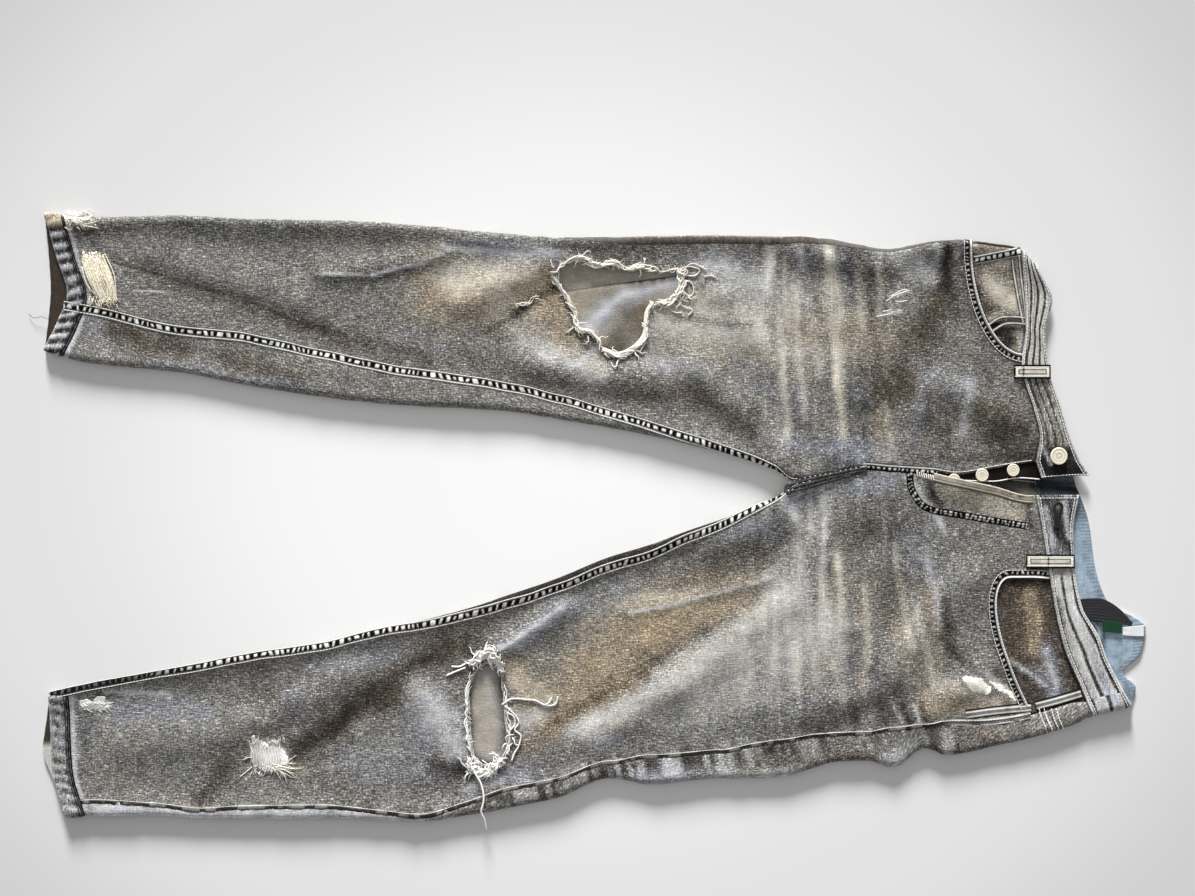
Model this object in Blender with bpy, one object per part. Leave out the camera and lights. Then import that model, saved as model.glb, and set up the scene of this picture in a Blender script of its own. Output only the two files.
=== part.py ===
"""Ripped slim jeans, laid flat on a table: legs along -X, waist at +X, front side up.

Each half of the garment is one flattened tube of denim. Its cross-section at any x runs over the top
from the outer fold (share 0) to the inner fold (share 1), and back underneath. The inner fold opens at
the crotch, so above it the front and back meet their mirror halves at the centre seams. Every panel is a
stretch of that tube between two seams, made as two grids half a wall to either side of the cloth's
middle and closed by a rim. The unit of every size and table is the millimetre.
"""

import math

import bmesh
import bpy
import numpy as np

MM = 0.001

# Driving sizes, mm
WALL = 1.2  # one layer of denim
DOUBLE_WALL = 2.4  # a turned hem or the waistband
SEAM_GAP = 0.6  # between two pieces that are sewn together
CLEAR = 0.35  # between a piece and what lies on it
FOLD_RADIUS = 6.0  # of the side folds, to the middle of the wall
LIE = 5.3  # height of the front cloth's middle where it lies on the back
BAND_LIE = LIE + 1.2
LOWEST = 4.4  # the front cloth never sinks below this, clear of what is under it
BULGE, BULGE_REACH = 0.75, 17.0  # how much of its height a side fold lends the front, and how far in
HEM_DEPTH = 17.0
UNDER = -(WALL + CLEAR)  # from the front's middle to that of a layer right under it
FACING_UNDER = UNDER - 0.45  # the pocket facings lie a little deeper, so that they clear the front's folds
LOOP_WALL, LABEL_WALL = 1.8, 1.0
YOKE_DIP = 32.0  # how much deeper the yoke is at the centre back than at the side
UNDERLAP = 0.085  # how far the button end passes the centre, as a share of the right half's width
UNDERLAP_X, UNDERLAP_DEPTH = 446.0, 48.0  # where the button end's lower corner lies, and the end's length
ROWS, FRONT_COLUMNS, BACK_COLUMNS = 29, 12, 16  # of the panels' grids
YOKE_ROW = 27
YOKE_STATION = YOKE_ROW / (ROWS - 1)  # the yoke's seam, between the hem (0) and the waist seam (1)
BOW_STATION = 0.75  # the rows across the back start to bow here, up to the yoke's seam
BEND_WEIGHT = 22.0  # mm of cloth that one radian of bend counts for, when columns are spread
CROTCH_X, OPEN_X = 200.0, 250.0  # the inner fold is closed before the first, open after the second


def table(columns, *rows):
    """The columns of a short table by name, each as an array."""
    return dict(zip(columns.split(), np.array(rows, float).T, strict=True))


def smooth(x, xs, ys):
    """A monotone cubic through the rows (xs, ys), held flat past both ends."""
    step = np.diff(xs)
    rise = np.diff(ys) / step
    slope = np.concatenate([rise[:1], np.zeros(len(xs) - 2), rise[-1:]])
    same_way = rise[:-1] * rise[1:] > 0
    total = np.where(same_way, rise[:-1] + rise[1:], 1.0)
    slope[1:-1] = np.where(same_way, 2 * rise[:-1] * rise[1:] / total, 0.0)
    x = np.clip(x, xs[0], xs[-1])
    i = np.clip(np.searchsorted(xs, x) - 1, 0, len(step) - 1)
    t = (x - xs[i]) / step[i]
    start = (1 + 2 * t) * (1 - t) ** 2 * ys[i] + t * (1 - t) ** 2 * step[i] * slope[i]
    return start + t**2 * (3 - 2 * t) * ys[i + 1] + t**2 * (t - 1) * step[i] * slope[i + 1]


# Sections: the two folds of the flattened tube, the centre seams above the crotch, and how far in from
# its fold, over the top, each long seam lies (less than zero is underneath).
RIGHT = {
    "sections": table(
        "x     outer inner inner_back inseam_in outseam_in",
        (-550, 303, 166, 166, 50, -6),
        (-508, 298, 154, 154, 56, -6),
        (-414, 299, 144, 144, 45, -6),
        (-345, 296, 131, 131, 50, -6),
        (-268, 295, 119, 119, 45, -6),
        (-191, 291, 111, 111, 37, -6),
        (-95, 282, 106, 106, 28, -4),
        (-34, 277, 97, 97, 23, 0),
        (56, 279, 81, 81, 12, 8),
        (126, 280, 64, 64, 7, 8),
        (180, 279, 48, 48, 3, 8),
        (200, 279, 37, 37, 0, 7),
        (215, 278, 39, 39, 0, 6),
        (240, 275, 45, 45, 0, 5),
        (271, 269, 50, 42, 0, 3),
        (295, 266, 48, 42, 0, 2),
        (338, 273, 45, 41, 0, 0),
        (362, 275, 42, 40, 0, -2),
        (400, 271, 48, 38, 0, -2),
        (424, 266, 52, 36, 0, -2),
        (441, 250, 54, 34, 0, -2),
        (480, 238, 56, 30, 0, -2),
    ),
    # The hem's edge and the waist seam with the waistband's top edge, by share from outer to inner side.
    "hem": table(
        "share front back",
        (0.00, -549, -549),
        (0.30, -537, -545),
        (0.55, -526, -543),
        (0.75, -535, -545),
        (1.00, -549, -549),
    ),
    "waist": table(
        "share front back front_top back_top",
        (0.00, 426, 426, 441, 441),
        (0.15, 428, 412, 457, 450),
        (0.33, 430, 408, 450, 447),
        (0.54, 426, 410, 455, 450),
        (0.72, 437, 420, 466, 462),
        (0.87, 444, 434, 474, 474),
        (1.00, 440, 440, 484, 481),
    ),
    # Main creases as long soft ridges (rise > 0) and troughs (rise < 0) from one point to another.
    "creases": table(
        "x0   y0   x1   y1   width rise",
        (-479, 252, -248, 169, 14, -1.2),
        (-440, 262, -300, 215, 20, 4),
        (-271, 241, -151, 261, 12, 3.5),
        (-300, 150, -120, 128, 16, 3.2),
        (-109, 186, -44, 224, 12, -1),
        (-130, 215, -50, 252, 16, 4.5),
        (-60, 150, 60, 130, 18, 4.8),
        (100, 150, 190, 60, 15, 5.1),
        (130, 220, 235, 66, 14, 3.5),
        (240, 250, 262, 120, 14, 3.2),
        (200, 262, 300, 245, 12, 3.8),
        (300, 220, 330, 110, 18, 4.2),
        (345, 130, 415, 95, 15, 4.2),
    ),
}
LEFT = {
    "sections": table(
        "x     outer inner inner_back inseam_in outseam_in",
        (-550, -303, -178, -178, 4, 18),
        (-505, -299, -168, -168, 5, 18),
        (-439, -298, -156, -156, 5, 14),
        (-391, -301, -147, -147, 6, 12),
        (-354, -301, -139, -139, 6, 14),
        (-272, -301, -127, -127, 6, 15),
        (-215, -303, -113, -113, 6, 12),
        (-174, -304, -105, -105, 7, 9),
        (-128, -298, -93, -93, 9, 15),
        (-82, -290, -78, -78, 12, 22),
        (-36, -280, -62, -62, 13, 21),
        (16, -261, -41, -41, 13, 19),
        (56, -267, -29, -29, 13, 31),
        (90, -264, -16, -16, 11, 30),
        (126, -261, -4, -4, 9, 30),
        (158, -261, 9, 9, 6, 36),
        (186, -260, 20, 20, 2, 39),
        (200, -257, 31, 31, 0, 38),
        (215, -252, 37, 37, 0, 36),
        (240, -245, 43.2, 43.2, 0, 31),
        (271, -243, 49.4, 41.4, 0, 30),
        (298, -250, 47.2, 41.4, 0, 41),
        (331, -231, 44.4, 40.4, 0, 26),
        (352, -238, 40, 39.6, 0, 36),
        (400, -229, 29.5, 37.4, 0, 28),
        (435, -221, 21, 34, 0, 26),
        (472, -210, 21, 30, 0, 26),
        (497, -199, 21, 28, 0, 18),
        (552, -186, 21, 24, 0, 10),
    ),
    "hem": table(
        "share front back",
        (0.00, -527, -527),
        (0.35, -540, -543),
        (0.55, -542, -551),
        (0.80, -543, -547),
        (1.00, -544, -544),
    ),
    "waist": table(
        "share front back front_top back_top",
        (0.00, 497, 497, 536, 536),
        (0.08, 490, 500, 528, 541),
        (0.16, 484, 498, 520, 528),
        (0.24, 477, 503, 512, 546),
        (0.35, 468, 503, 504, 551),
        (0.50, 460, 478, 487, 512),
        (0.66, 454, 458, 480, 500),
        (0.85, 447, 450, 478, 494),
        (1.00, 440, 440, 484, 482),
    ),
    "creases": table(
        "x0   y0   x1   y1   width rise",
        (-300, -236, -232, -191, 12, -1.2),
        (-232, -191, -150, -132, 12, -1.2),
        (-177, -170, -140, -235, 18, 4.2),
        (-330, -205, -245, -160, 18, 3.8),
        (-470, -230, -350, -215, 20, 3.5),
        (-94, -134, -30, -92, 13, 4.8),
        (-34, -208, 62, -143, 12, -1.2),
        (62, -143, 167, -76, 12, -1.2),
        (-5, -222, 81, -170, 15, 5.4),
        (81, -170, 186, -90, 15, 5.1),
        (35, -97, 176, -62, 9, 3.2),
        (235, -30, 258, -110, 13, 3.2),
        (120, -30, 190, 0, 14, 4.2),
        (300, -150, 380, -60, 18, 4.2),
        (330, -200, 395, -150, 14, 4.2),
        (210, -200, 300, -165, 16, 3.8),
        (345, 34, 375, 34, 20, 6.1),
    ),
}


def lined_up(half, table_name, column, w):
    """The x of a line across the tube, such as the hem's edge, at place w round the section."""
    rows = half[table_name]
    share = share_of(w)
    front = smooth(share, rows["share"], rows["front" + column])
    back = smooth(share, rows["share"], rows["back" + column])
    return np.where(on_top(w), front, back)


def on_top(w):
    """Places w run from 0 to 1 over the top, outer fold to inner, and from 1 to 2 back underneath."""
    return np.mod(w, 2.0) <= 1.0


def share_of(w):
    """How far across the tube, from the outer fold (0) to the inner (1), a place w is."""
    turn = np.mod(w, 2.0)
    return np.where(turn <= 1.0, turn, 2.0 - turn)


def column(half, name, x):
    return smooth(x, half["sections"]["x"], half["sections"][name])


def creases(half, x, y):
    """Sum of the crease rows: each a bell across its line, fading past both its ends."""
    total = np.zeros(np.broadcast(x, y).shape)
    for x0, y0, x1, y1, width, rise in zip(*half["creases"].values(), strict=True):
        run, climb = x1 - x0, y1 - y0
        along = np.clip(((x - x0) * run + (y - y0) * climb) / (run**2 + climb**2), 0, 1)
        off = np.hypot(x - x0 - along * run, y - y0 - along * climb)
        total = total + rise * np.exp(-((off / width) ** 2))
    return total


def ease(t):
    """0 to 1 with level ends."""
    t = np.clip(t, 0, 1)
    return t * t * (3 - 2 * t)


def cloth(half, x, w, lie=LIE, bottom=WALL / 2, beyond=0.0):
    """The middle of the cloth at (x, w): a quarter ellipse at each fold, and between them the front
    lying at the height lie plus its creases, the back flat. beyond carries the top past the centre."""
    x, w = np.broadcast_arrays(np.asarray(x, float), np.asarray(w, float))
    top = on_top(w)
    share = share_of(w)
    outer = column(half, "outer", x)
    inner = np.where(top, column(half, "inner", x), column(half, "inner_back", x))
    y = outer + (inner - outer) * (share + beyond)
    width = np.abs(inner - outer)
    closed = closed_at(x)
    arc_out = quarter(share * width)
    arc_in = 1 - (1 - quarter((1 - share) * width)) * closed
    near = np.exp(-((share * width / BULGE_REACH) ** 2))
    near = near + closed * np.exp(-(((1 - share) * width / BULGE_REACH) ** 2))
    held = lie + (2 * FOLD_RADIUS - WALL / 2 - lie) * near * BULGE
    level = np.maximum(held + creases(half, x, y), LOWEST + lie - LIE)
    arc = arc_out * arc_in
    z = np.where(top, FOLD_RADIUS + (level - FOLD_RADIUS) * arc, FOLD_RADIUS - (FOLD_RADIUS - bottom) * arc)
    return np.stack([x, y, z], axis=-1)


def closed_at(x):
    """1 along the legs, where the inner side is a fold, and 0 above the crotch, where it is open."""
    return 1 - ease((x - CROTCH_X) / (OPEN_X - CROTCH_X))


def quarter(distance):
    """The height of a quarter circle, 0 at a fold's tip and 1 from one fold radius inwards."""
    t = 1 - np.clip(distance / FOLD_RADIUS, 0, 1)
    return np.sqrt(1 - t * t)


def spread(half, w_from, w_to, x_of, columns):
    """Places w for one row of a panel: close together where the cloth bends, apart where it is flat."""
    tips = np.arange(math.floor(w_from), math.ceil(w_to))
    between = (1 - np.cos(np.pi * np.linspace(0, 1, 240, endpoint=False))) / 2
    dense = (tips[:, None] + between).ravel()
    dense = np.concatenate([[w_from], dense[(dense > w_from) & (dense < w_to)], [w_to]])
    step = np.diff(cloth(half, x_of(dense), dense)[:, 1:], axis=0)
    way = np.unwrap(np.arctan2(step[:, 1], step[:, 0]))
    bend = np.abs(np.diff(way, append=way[-1]))
    walked = np.concatenate([[0], np.cumsum(np.hypot(*step.T) + BEND_WEIGHT * np.minimum(bend, 0.3))])
    return np.interp(np.linspace(0, walked[-1], columns), walked, dense)


def seam_place(half, fold, name, x_of, aside):
    """The place w of a long seam's edge, found over a few repeats as x shifts. The table column, and the
    step aside to a panel's own edge, are lengths of cloth from the fold's tip, over the top."""
    w = float(fold)
    for _ in range(4):
        x = x_of(np.array([w]))
        cloth_length = column(half, name, x) + aside
        bent = np.minimum(np.abs(cloth_length) / FOLD_RADIUS, np.pi / 2)
        taken_up = FOLD_RADIUS * (bent - 1 + np.cos(bent)) * (closed_at(x) if fold else 1)
        inwards = np.abs(cloth_length) - taken_up
        share = np.sign(cloth_length) * inwards / abs(column(half, "inner", x) - column(half, "outer", x))
        w = float((fold - share if fold else share)[0])
    return w


def station_x(half, w, s):
    """The x at place w of the station s, which runs from 0 at the hem's seam to 1 at the waist seam. On
    the back, the stations bow down the centre so that the yoke's seam is one of them."""
    hem = lined_up(half, "hem", "", w) + HEM_DEPTH + SEAM_GAP
    waist = lined_up(half, "waist", "", w)
    bow = np.where(on_top(w), 0.0, ease(share_of(w))) * (YOKE_DIP / (waist - hem))
    below = ease((s - BOW_STATION) / (YOKE_STATION - BOW_STATION))
    above = (1 - s) / (1 - YOKE_STATION)
    return hem + (waist - hem) * (s - bow * np.where(s < YOKE_STATION, below, above))


def panel(half, stations, columns, piece):
    """The places (x, w) of a panel's grid: one row for each station, between its two seams."""
    across, places = [], []
    for s in stations:

        def x_of(w, s=s):
            return station_x(half, w, s)

        aside = SEAM_GAP / 2 if piece == "front" else -SEAM_GAP / 2
        out = seam_place(half, 0, "outseam_in", x_of, aside)
        inner = seam_place(half, 1, "inseam_in", x_of, aside)
        w = spread(half, *((out, inner) if piece == "front" else (inner, 2 + out)), x_of, columns)
        across.append(x_of(w))
        places.append(w)
    return np.array(across), np.array(places)


def faces_and_backs(half, x, w, wall=WALL, lie=LIE, offset=0.0, beyond=0.0):
    """The outer and inner surface of a cloth wall at the places (x, w): the cloth's middle moved both
    ways along its normal, so that two pieces that meet at a seam have parallel rims."""
    bottom = wall / 2

    def middle(x, w):
        return cloth(half, x, w, lie, bottom, beyond)

    reach = abs(column(half, "inner", x) - column(half, "outer", x))
    over = middle(x, w + 0.1 / reach) - middle(x, w - 0.1 / reach)
    along = middle(x + 0.5, w) - middle(x - 0.5, w)
    side = 1.0 if half is LEFT else -1.0
    normal = np.cross(along, over) * side
    normal /= np.linalg.norm(normal, axis=-1, keepdims=True)
    points = middle(x, w) + offset * normal
    return points + wall / 2 * normal, points - wall / 2 * normal


def material(name, colour, roughness, metallic=0.0):
    made = bpy.data.materials.get(name) or bpy.data.materials.new(name)
    made.use_nodes = True
    shader = made.node_tree.nodes["Principled BSDF"]
    shader.inputs["Base Color"].default_value = (*colour, 1.0)
    shader.inputs["Roughness"].default_value = roughness
    shader.inputs["Metallic"].default_value = metallic
    return made


DENIM = material("grey_denim", (0.17, 0.16, 0.14), 0.9)
DARK_DENIM = material("dark_denim", (0.03, 0.028, 0.026), 0.9)
PALE_COTTON = material("pale_cotton", (0.55, 0.6, 0.62), 0.85)
BRASS = material("pale_brass", (0.72, 0.62, 0.42), 0.35, 1.0)
LABEL_CLOTH = material("dark_woven_label", (0.02, 0.02, 0.02), 0.8)


def sheet(name, surfaces, finish, ring=False):
    """One cloth piece: its outer and inner surface as grids of triangles, closed by a rim of quads. The
    triangles of every grid are split the same way, so that a piece made from another's points stays
    parallel to it."""
    outer, inner = surfaces
    rows, columns = outer.shape[:2]
    index = np.arange(rows * columns).reshape(rows, columns)
    if ring:
        index = np.concatenate([index, index[:, :1]], axis=1)
    near, next_row, opposite, beside = index[:-1, :-1], index[1:, :-1], index[1:, 1:], index[:-1, 1:]
    corners = ((near, next_row, opposite), (near, opposite, beside))
    triangles = np.concatenate([np.stack(three, axis=-1) for three in corners]).reshape(-1, 3)
    edges = [index[0], index[-1][::-1]] + ([] if ring else [index[:, 0][::-1], index[:, -1]])
    far = rows * columns
    rims = [np.stack([e[:-1], e[1:], e[1:] + far, e[:-1] + far], axis=-1) for e in edges]
    faces = triangles.tolist() + (triangles[:, ::-1] + far).tolist() + np.concatenate(rims).tolist()
    mesh = bpy.data.meshes.new(name)
    points = np.concatenate([outer.reshape(-1, 3), inner.reshape(-1, 3)])
    mesh.from_pydata((points * MM).tolist(), [], faces)
    mesh.materials.append(finish)
    shape = bmesh.new()
    shape.from_mesh(mesh)
    bmesh.ops.recalc_face_normals(shape, faces=shape.faces)
    shape.to_mesh(mesh)
    shape.free()
    mesh.shade_smooth()
    mesh.set_sharp_from_angle(angle=math.radians(50))
    piece = bpy.data.objects.new(name, mesh)
    bpy.context.scene.collection.objects.link(piece)
    return piece


def cut(piece, name, outline, operation="DIFFERENCE", low=-5.0, high=40.0):
    """Cut the piece through with an upright prism on the outline, or keep only what is inside it."""
    shape = bmesh.new()
    face = shape.faces.new([shape.verts.new((x * MM, y * MM, low * MM)) for x, y in outline])
    lifted = bmesh.ops.extrude_face_region(shape, geom=[face])
    tops = [v for v in lifted["geom"] if isinstance(v, bmesh.types.BMVert)]
    bmesh.ops.translate(shape, verts=tops, vec=(0, 0, (high - low) * MM))
    bmesh.ops.recalc_face_normals(shape, faces=shape.faces)
    mesh = bpy.data.meshes.new(name)
    shape.to_mesh(mesh)
    shape.free()
    cutter = bpy.data.objects.new(name, mesh)
    bpy.context.scene.collection.objects.link(cutter)
    cutter.hide_render = True
    cutter.display_type = "WIRE"
    boolean = piece.modifiers.new(name, "BOOLEAN")
    boolean.operation = operation
    boolean.object = cutter


def bezier(start, pull_a, pull_b, end, count):
    """Points along a cubic curve."""
    t = np.linspace(0, 1, count)[:, None]
    a, b, c, d = (np.array(p, float) for p in (start, pull_a, pull_b, end))
    return (1 - t) ** 3 * a + 3 * t * (1 - t) ** 2 * b + 3 * t * t * (1 - t) * c + t**3 * d


def laid_on(half, x, y, finish, name, offset, wall=WALL, lie=LIE):
    """A small piece over or under the front: its grid (x, y) on the front's middle, moved out by offset."""
    x, y = np.broadcast_arrays(np.asarray(x, float), np.asarray(y, float))
    outer, inner = column(half, "outer", x), column(half, "inner", x)
    share = (outer - y) / (outer - inner)
    w = np.clip(share, 0.002, 0.998)
    return sheet(name, faces_and_backs(half, x, w, wall, lie, offset, share - w), finish)


def clear_scene():
    for item in list(bpy.data.objects):
        bpy.data.objects.remove(item, do_unlink=True)


# ---------------------------------------------------------------------------------------------------
# Legs, yokes and hems


def make_half(side, half):
    """Front, back, yoke and hem of one half. Returns the front, its grid of places, and the back's places
    at the waist seam."""
    stations = np.linspace(0, 1, ROWS)
    front_x, front_w = panel(half, stations, FRONT_COLUMNS, "front")
    back_x, back_w = panel(half, stations, BACK_COLUMNS, "back")
    front = sheet("front_" + side, faces_and_backs(half, front_x, front_w), DENIM)
    leg, yoke = slice(YOKE_ROW + 1), slice(YOKE_ROW, None)
    sheet("back_" + side, faces_and_backs(half, back_x[leg], back_w[leg]), DENIM)
    yoke_x = back_x[yoke].copy()
    yoke_x[0] += SEAM_GAP
    sheet("yoke_" + side, faces_and_backs(half, yoke_x, back_w[yoke]), DENIM)

    w = np.concatenate([front_w[0], back_w[0]])
    ring_x = lined_up(half, "hem", "", w) + HEM_DEPTH * np.array([[0.0], [1.0]])
    ring = faces_and_backs(half, ring_x, np.broadcast_to(w, ring_x.shape), wall=DOUBLE_WALL)
    sheet("hem_" + side, ring, DENIM, ring=True)
    return front, (front_x, front_w), back_w[-1]


def make_waistband(right_front, right_back, left_front, left_back):
    """One doubled band from the button end, round the right side, the back and the left side, to the
    buttonhole end, on the panels' own places. Its right end runs on past the centre as the underlap."""
    e = np.linspace(0, 1, 3)[:, None]
    right = np.concatenate([right_front[::-1], right_back[::-1]])
    left = np.concatenate([left_back, left_front])
    end_x = UNDERLAP_X + UNDERLAP_DEPTH * e
    end_w = np.full_like(end_x, right_front[-1])
    surfaces = [faces_and_backs(RIGHT, end_x, end_w, DOUBLE_WALL, BAND_LIE, beyond=UNDERLAP)]
    for half, w in ((RIGHT, right), (LEFT, left)):
        seam = lined_up(half, "waist", "", w) + SEAM_GAP
        x = seam * (1 - e) + lined_up(half, "waist", "_top", w) * e
        surfaces.append(faces_and_backs(half, x, np.broadcast_to(w, x.shape), DOUBLE_WALL, BAND_LIE))
    sheet("waistband", [np.concatenate(layers, axis=1) for layers in zip(*surfaces, strict=True)], DENIM)


# ---------------------------------------------------------------------------------------------------
# Rips and front pockets

# Each knee rip's torn edge, from its corner by the hem and the outer fold round.
RIP_RIGHT_UPPER = ((-40, 240), (-14, 257), (21, 252), (49, 249), (84, 245), (84, 222))
RIP_RIGHT_LOWER = ((58, 212), (52, 180), (38, 164), (14, 163), (0, 183), (-17, 192))
RIP_LEFT_UPPER = ((-118, -158), (-107, -148), (-96, -152), (-91, -180))
RIP_LEFT_LOWER = ((-87, -222), (-92, -240), (-106, -248), (-118, -240), (-124, -200))
# The right pocket's mouth is a quarter ellipse from the waist seam round to the side seam. Its corner is
# the ellipse's centre.
MOUTH_CORNER_X, MOUTH_CORNER_Y = 430.0, 275.0
MOUTH_LENGTH, MOUTH_WIDTH = 53.0, 113.0
# The left pocket's mouth is one Bezier curve, from the waist seam to the side seam.
LEFT_MOUTH = ((416, -62), (396, -62), (394, -110), (434, -190))
PAST_WAIST = 520.0  # a pocket mouth's cutter runs on to here, past the front's edge
FACING_ROWS = {"right": 26, "left": 25}  # the row of the front's grid at which each facing starts
FACING_REACH = {"right": 0.56, "left": 0.7}  # and the share of the front's width that it reaches
COIN_TOP, COIN_BOTTOM = 257.0, 197.0  # the coin pocket's edges along the mouth
COIN_END, COIN_SLANT = 424.0, 0.08  # its edge at the waist, and how much that edge slants
COIN_IN = 0.8  # how far inside the mouth's edge it starts


def right_mouth(y):
    """The x of the right pocket mouth's edge at height y across the hip."""
    return MOUTH_CORNER_X - MOUTH_LENGTH * np.sqrt(1 - ((MOUTH_CORNER_Y - y) / MOUTH_WIDTH) ** 2)


def lining(name, half, side, grid, offset):
    """A piece made from the front's own points round its pocket mouth, moved in by the offset."""
    columns = np.argmax(grid[1][-1] > FACING_REACH[side]) + 1
    x, w = (places[FACING_ROWS[side] :, :columns] for places in grid)
    return sheet(name, faces_and_backs(half, x, w, offset=offset), DENIM)


def make_right_pocket(front, grid):
    """The mouth, the facing under it from the side fold on, and the coin pocket on the facing."""
    y = MOUTH_CORNER_Y - MOUTH_WIDTH * np.sin(np.linspace(0, np.pi / 2, 12))
    mouth = np.stack([right_mouth(y), y], axis=1)
    past_side = MOUTH_CORNER_Y + 25
    outline = [(mouth[0, 0], past_side), *mouth, (PAST_WAIST, mouth[-1, 1]), (PAST_WAIST, past_side)]
    cut(front, "mouth_cutter_right", outline)
    lining("pocket_facing_right", RIGHT, "right", grid, FACING_UNDER)

    coin = lining("coin_pocket", RIGHT, "right", grid, FACING_UNDER + WALL + CLEAR)
    y = np.linspace(COIN_TOP, COIN_BOTTOM, 7)
    edge = np.stack([right_mouth(y) + COIN_IN, y], axis=1)
    ends = [(COIN_END + (COIN_TOP - COIN_BOTTOM) * COIN_SLANT, COIN_BOTTOM), (COIN_END, COIN_TOP)]
    cut(coin, "coin_cutter", [*edge, *ends], "INTERSECT")


def make_left_pocket(front, grid):
    mouth = bezier(*LEFT_MOUTH, 9)
    start, end = mouth[0], mouth[-1]
    past_side = end[1] - 40
    outline = [(PAST_WAIST, start[1]), *mouth, (end[0], past_side), (PAST_WAIST, past_side)]
    cut(front, "mouth_cutter_left", outline)
    lining("pocket_facing_left", LEFT, "left", grid, FACING_UNDER)


# ---------------------------------------------------------------------------------------------------
# Fly, buttons, belt loops and labels

SHIELD_FROM, SHIELD_TO = 346.0, 446.0  # the fly shield's ends along x
SHIELD_LAP = 11.0  # how far it reaches in under the right front
SHIELD_EDGE = table("x y", (340, 36), (398, 33.5), (424, 37), (450, 35))  # its free edge
FLY_BUTTONS = table("x y radius disc", (418, 46, 6.3, 2.0), (387, 41, 6.5, 2.0), (359, 36, 6.3, 1.5))
WAIST_BUTTON = {"x": 463.0, "y": 60.0, "radius": 8.6, "disc": 2.6, "stem": 1.4}
BUTTON_CLEAR = 0.3  # from a button to the cloth under it
# A button's turned outline, as shares of its radius, of its stem's height and of its disc's.
BUTTON_PROFILE = table(
    "radius stem disc",
    (0.00, 0, 0.00),
    (0.42, 0, 0.00),
    (0.36, 1, 0.00),
    (0.88, 1, 0.05),
    (1.00, 1, 0.50),
    (0.88, 1, 1.00),
    (0.62, 1, 0.70),
    (0.00, 1, 0.80),
)
LOOP_STEP = 1.8  # how much higher a belt loop lies on the waistband than on the front
LOOP_BOW = 0.3  # and how much more at the middle of its reach


def make_fly_shield():
    """The doubled strip sewn under the right front's fly edge, which runs on under the left front."""
    x = np.linspace(SHIELD_FROM, SHIELD_TO, 9)[:, None]
    low = smooth(x, SHIELD_EDGE["x"], SHIELD_EDGE["y"])
    high = column(RIGHT, "inner", x) + SHIELD_LAP
    laid_on(RIGHT, x, low + (high - low) * np.linspace(0, 1, 4), DARK_DENIM, "fly_shield", UNDER)


def make_button(name, x, y, base, radius, disc, stem):
    """A metal shank button turned about its own axis: a stem and over it a disc with a rolled edge."""
    heights = BUTTON_PROFILE["stem"] * stem + BUTTON_PROFILE["disc"] * disc
    radii = BUTTON_PROFILE["radius"] * radius
    shape = bmesh.new()
    points = [shape.verts.new((r * MM, 0, z * MM)) for r, z in zip(radii, heights, strict=True)]
    edges = [shape.edges.new(pair) for pair in zip(points[:-1], points[1:], strict=True)]
    turn = {"cent": (0, 0, 0), "axis": (0, 0, 1), "angle": math.tau, "steps": 14, "use_merge": True}
    bmesh.ops.spin(shape, geom=[*points, *edges], **turn)
    bmesh.ops.remove_doubles(shape, verts=shape.verts, dist=1e-6)
    bmesh.ops.recalc_face_normals(shape, faces=shape.faces)
    mesh = bpy.data.meshes.new(name)
    shape.to_mesh(mesh)
    shape.free()
    mesh.materials.append(BRASS)
    mesh.shade_smooth()
    mesh.set_sharp_from_angle(angle=math.radians(40))
    button = bpy.data.objects.new(name, mesh)
    button.location = (x * MM, y * MM, base * MM)
    bpy.context.scene.collection.objects.link(button)


def make_buttons():
    """Three fly buttons on the shield, whose stems reach up past the front, and one on the waistband."""
    over_front, over_shield = LIE + WALL / 2, LIE + UNDER + WALL / 2
    rows = zip(*FLY_BUTTONS.values(), strict=True)
    for number, (x, y, radius, disc) in enumerate(rows, start=1):
        base = over_shield + BUTTON_CLEAR
        make_button(f"fly_button_{number}", x, y, base, radius, disc, over_front - over_shield + 0.4)
    make_button("waist_button", base=BAND_LIE + DOUBLE_WALL / 2 + BUTTON_CLEAR, **WAIST_BUTTON)


def make_belt_loop(name, half, x_ends, y_ends):
    """A folded strip across the waistband, sewn down on the front at one end and at the band's top."""
    y = np.linspace(*y_ends, 4)

    def place(x):
        outer = column(half, "outer", x)
        return (outer - y) / (outer - column(half, "inner", x))

    band = float(lined_up(half, "waist", "", place(np.array([sum(x_ends) / 2]))).min())
    x = np.array([x_ends[0], band - 4, band - 1.5, (band + x_ends[1]) / 2, x_ends[1]])[:, None]
    step = np.array([0.0, 0.0, LOOP_STEP, LOOP_STEP + LOOP_BOW, LOOP_STEP])[:, None]
    under = cloth(half, x, place(x))
    under[..., 2] += step + WALL / 2 + CLEAR
    sheet(name, (under + (0.0, 0.0, LOOP_WALL), under), DENIM)


def make_label(name, upper, lower, height, finish):
    """A woven label between two edges of (x, y) points, flat with its middle at the height given."""
    across = np.linspace(0, 1, 3)[:, None, None]
    grid = np.array(upper, float) * (1 - across) + np.array(lower, float) * across
    middle = np.concatenate([grid, np.full((*grid.shape[:2], 1), height)], axis=-1)
    sheet(name, (middle + (0, 0, LABEL_WALL / 2), middle - (0, 0, LABEL_WALL / 2)), finish)


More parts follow.
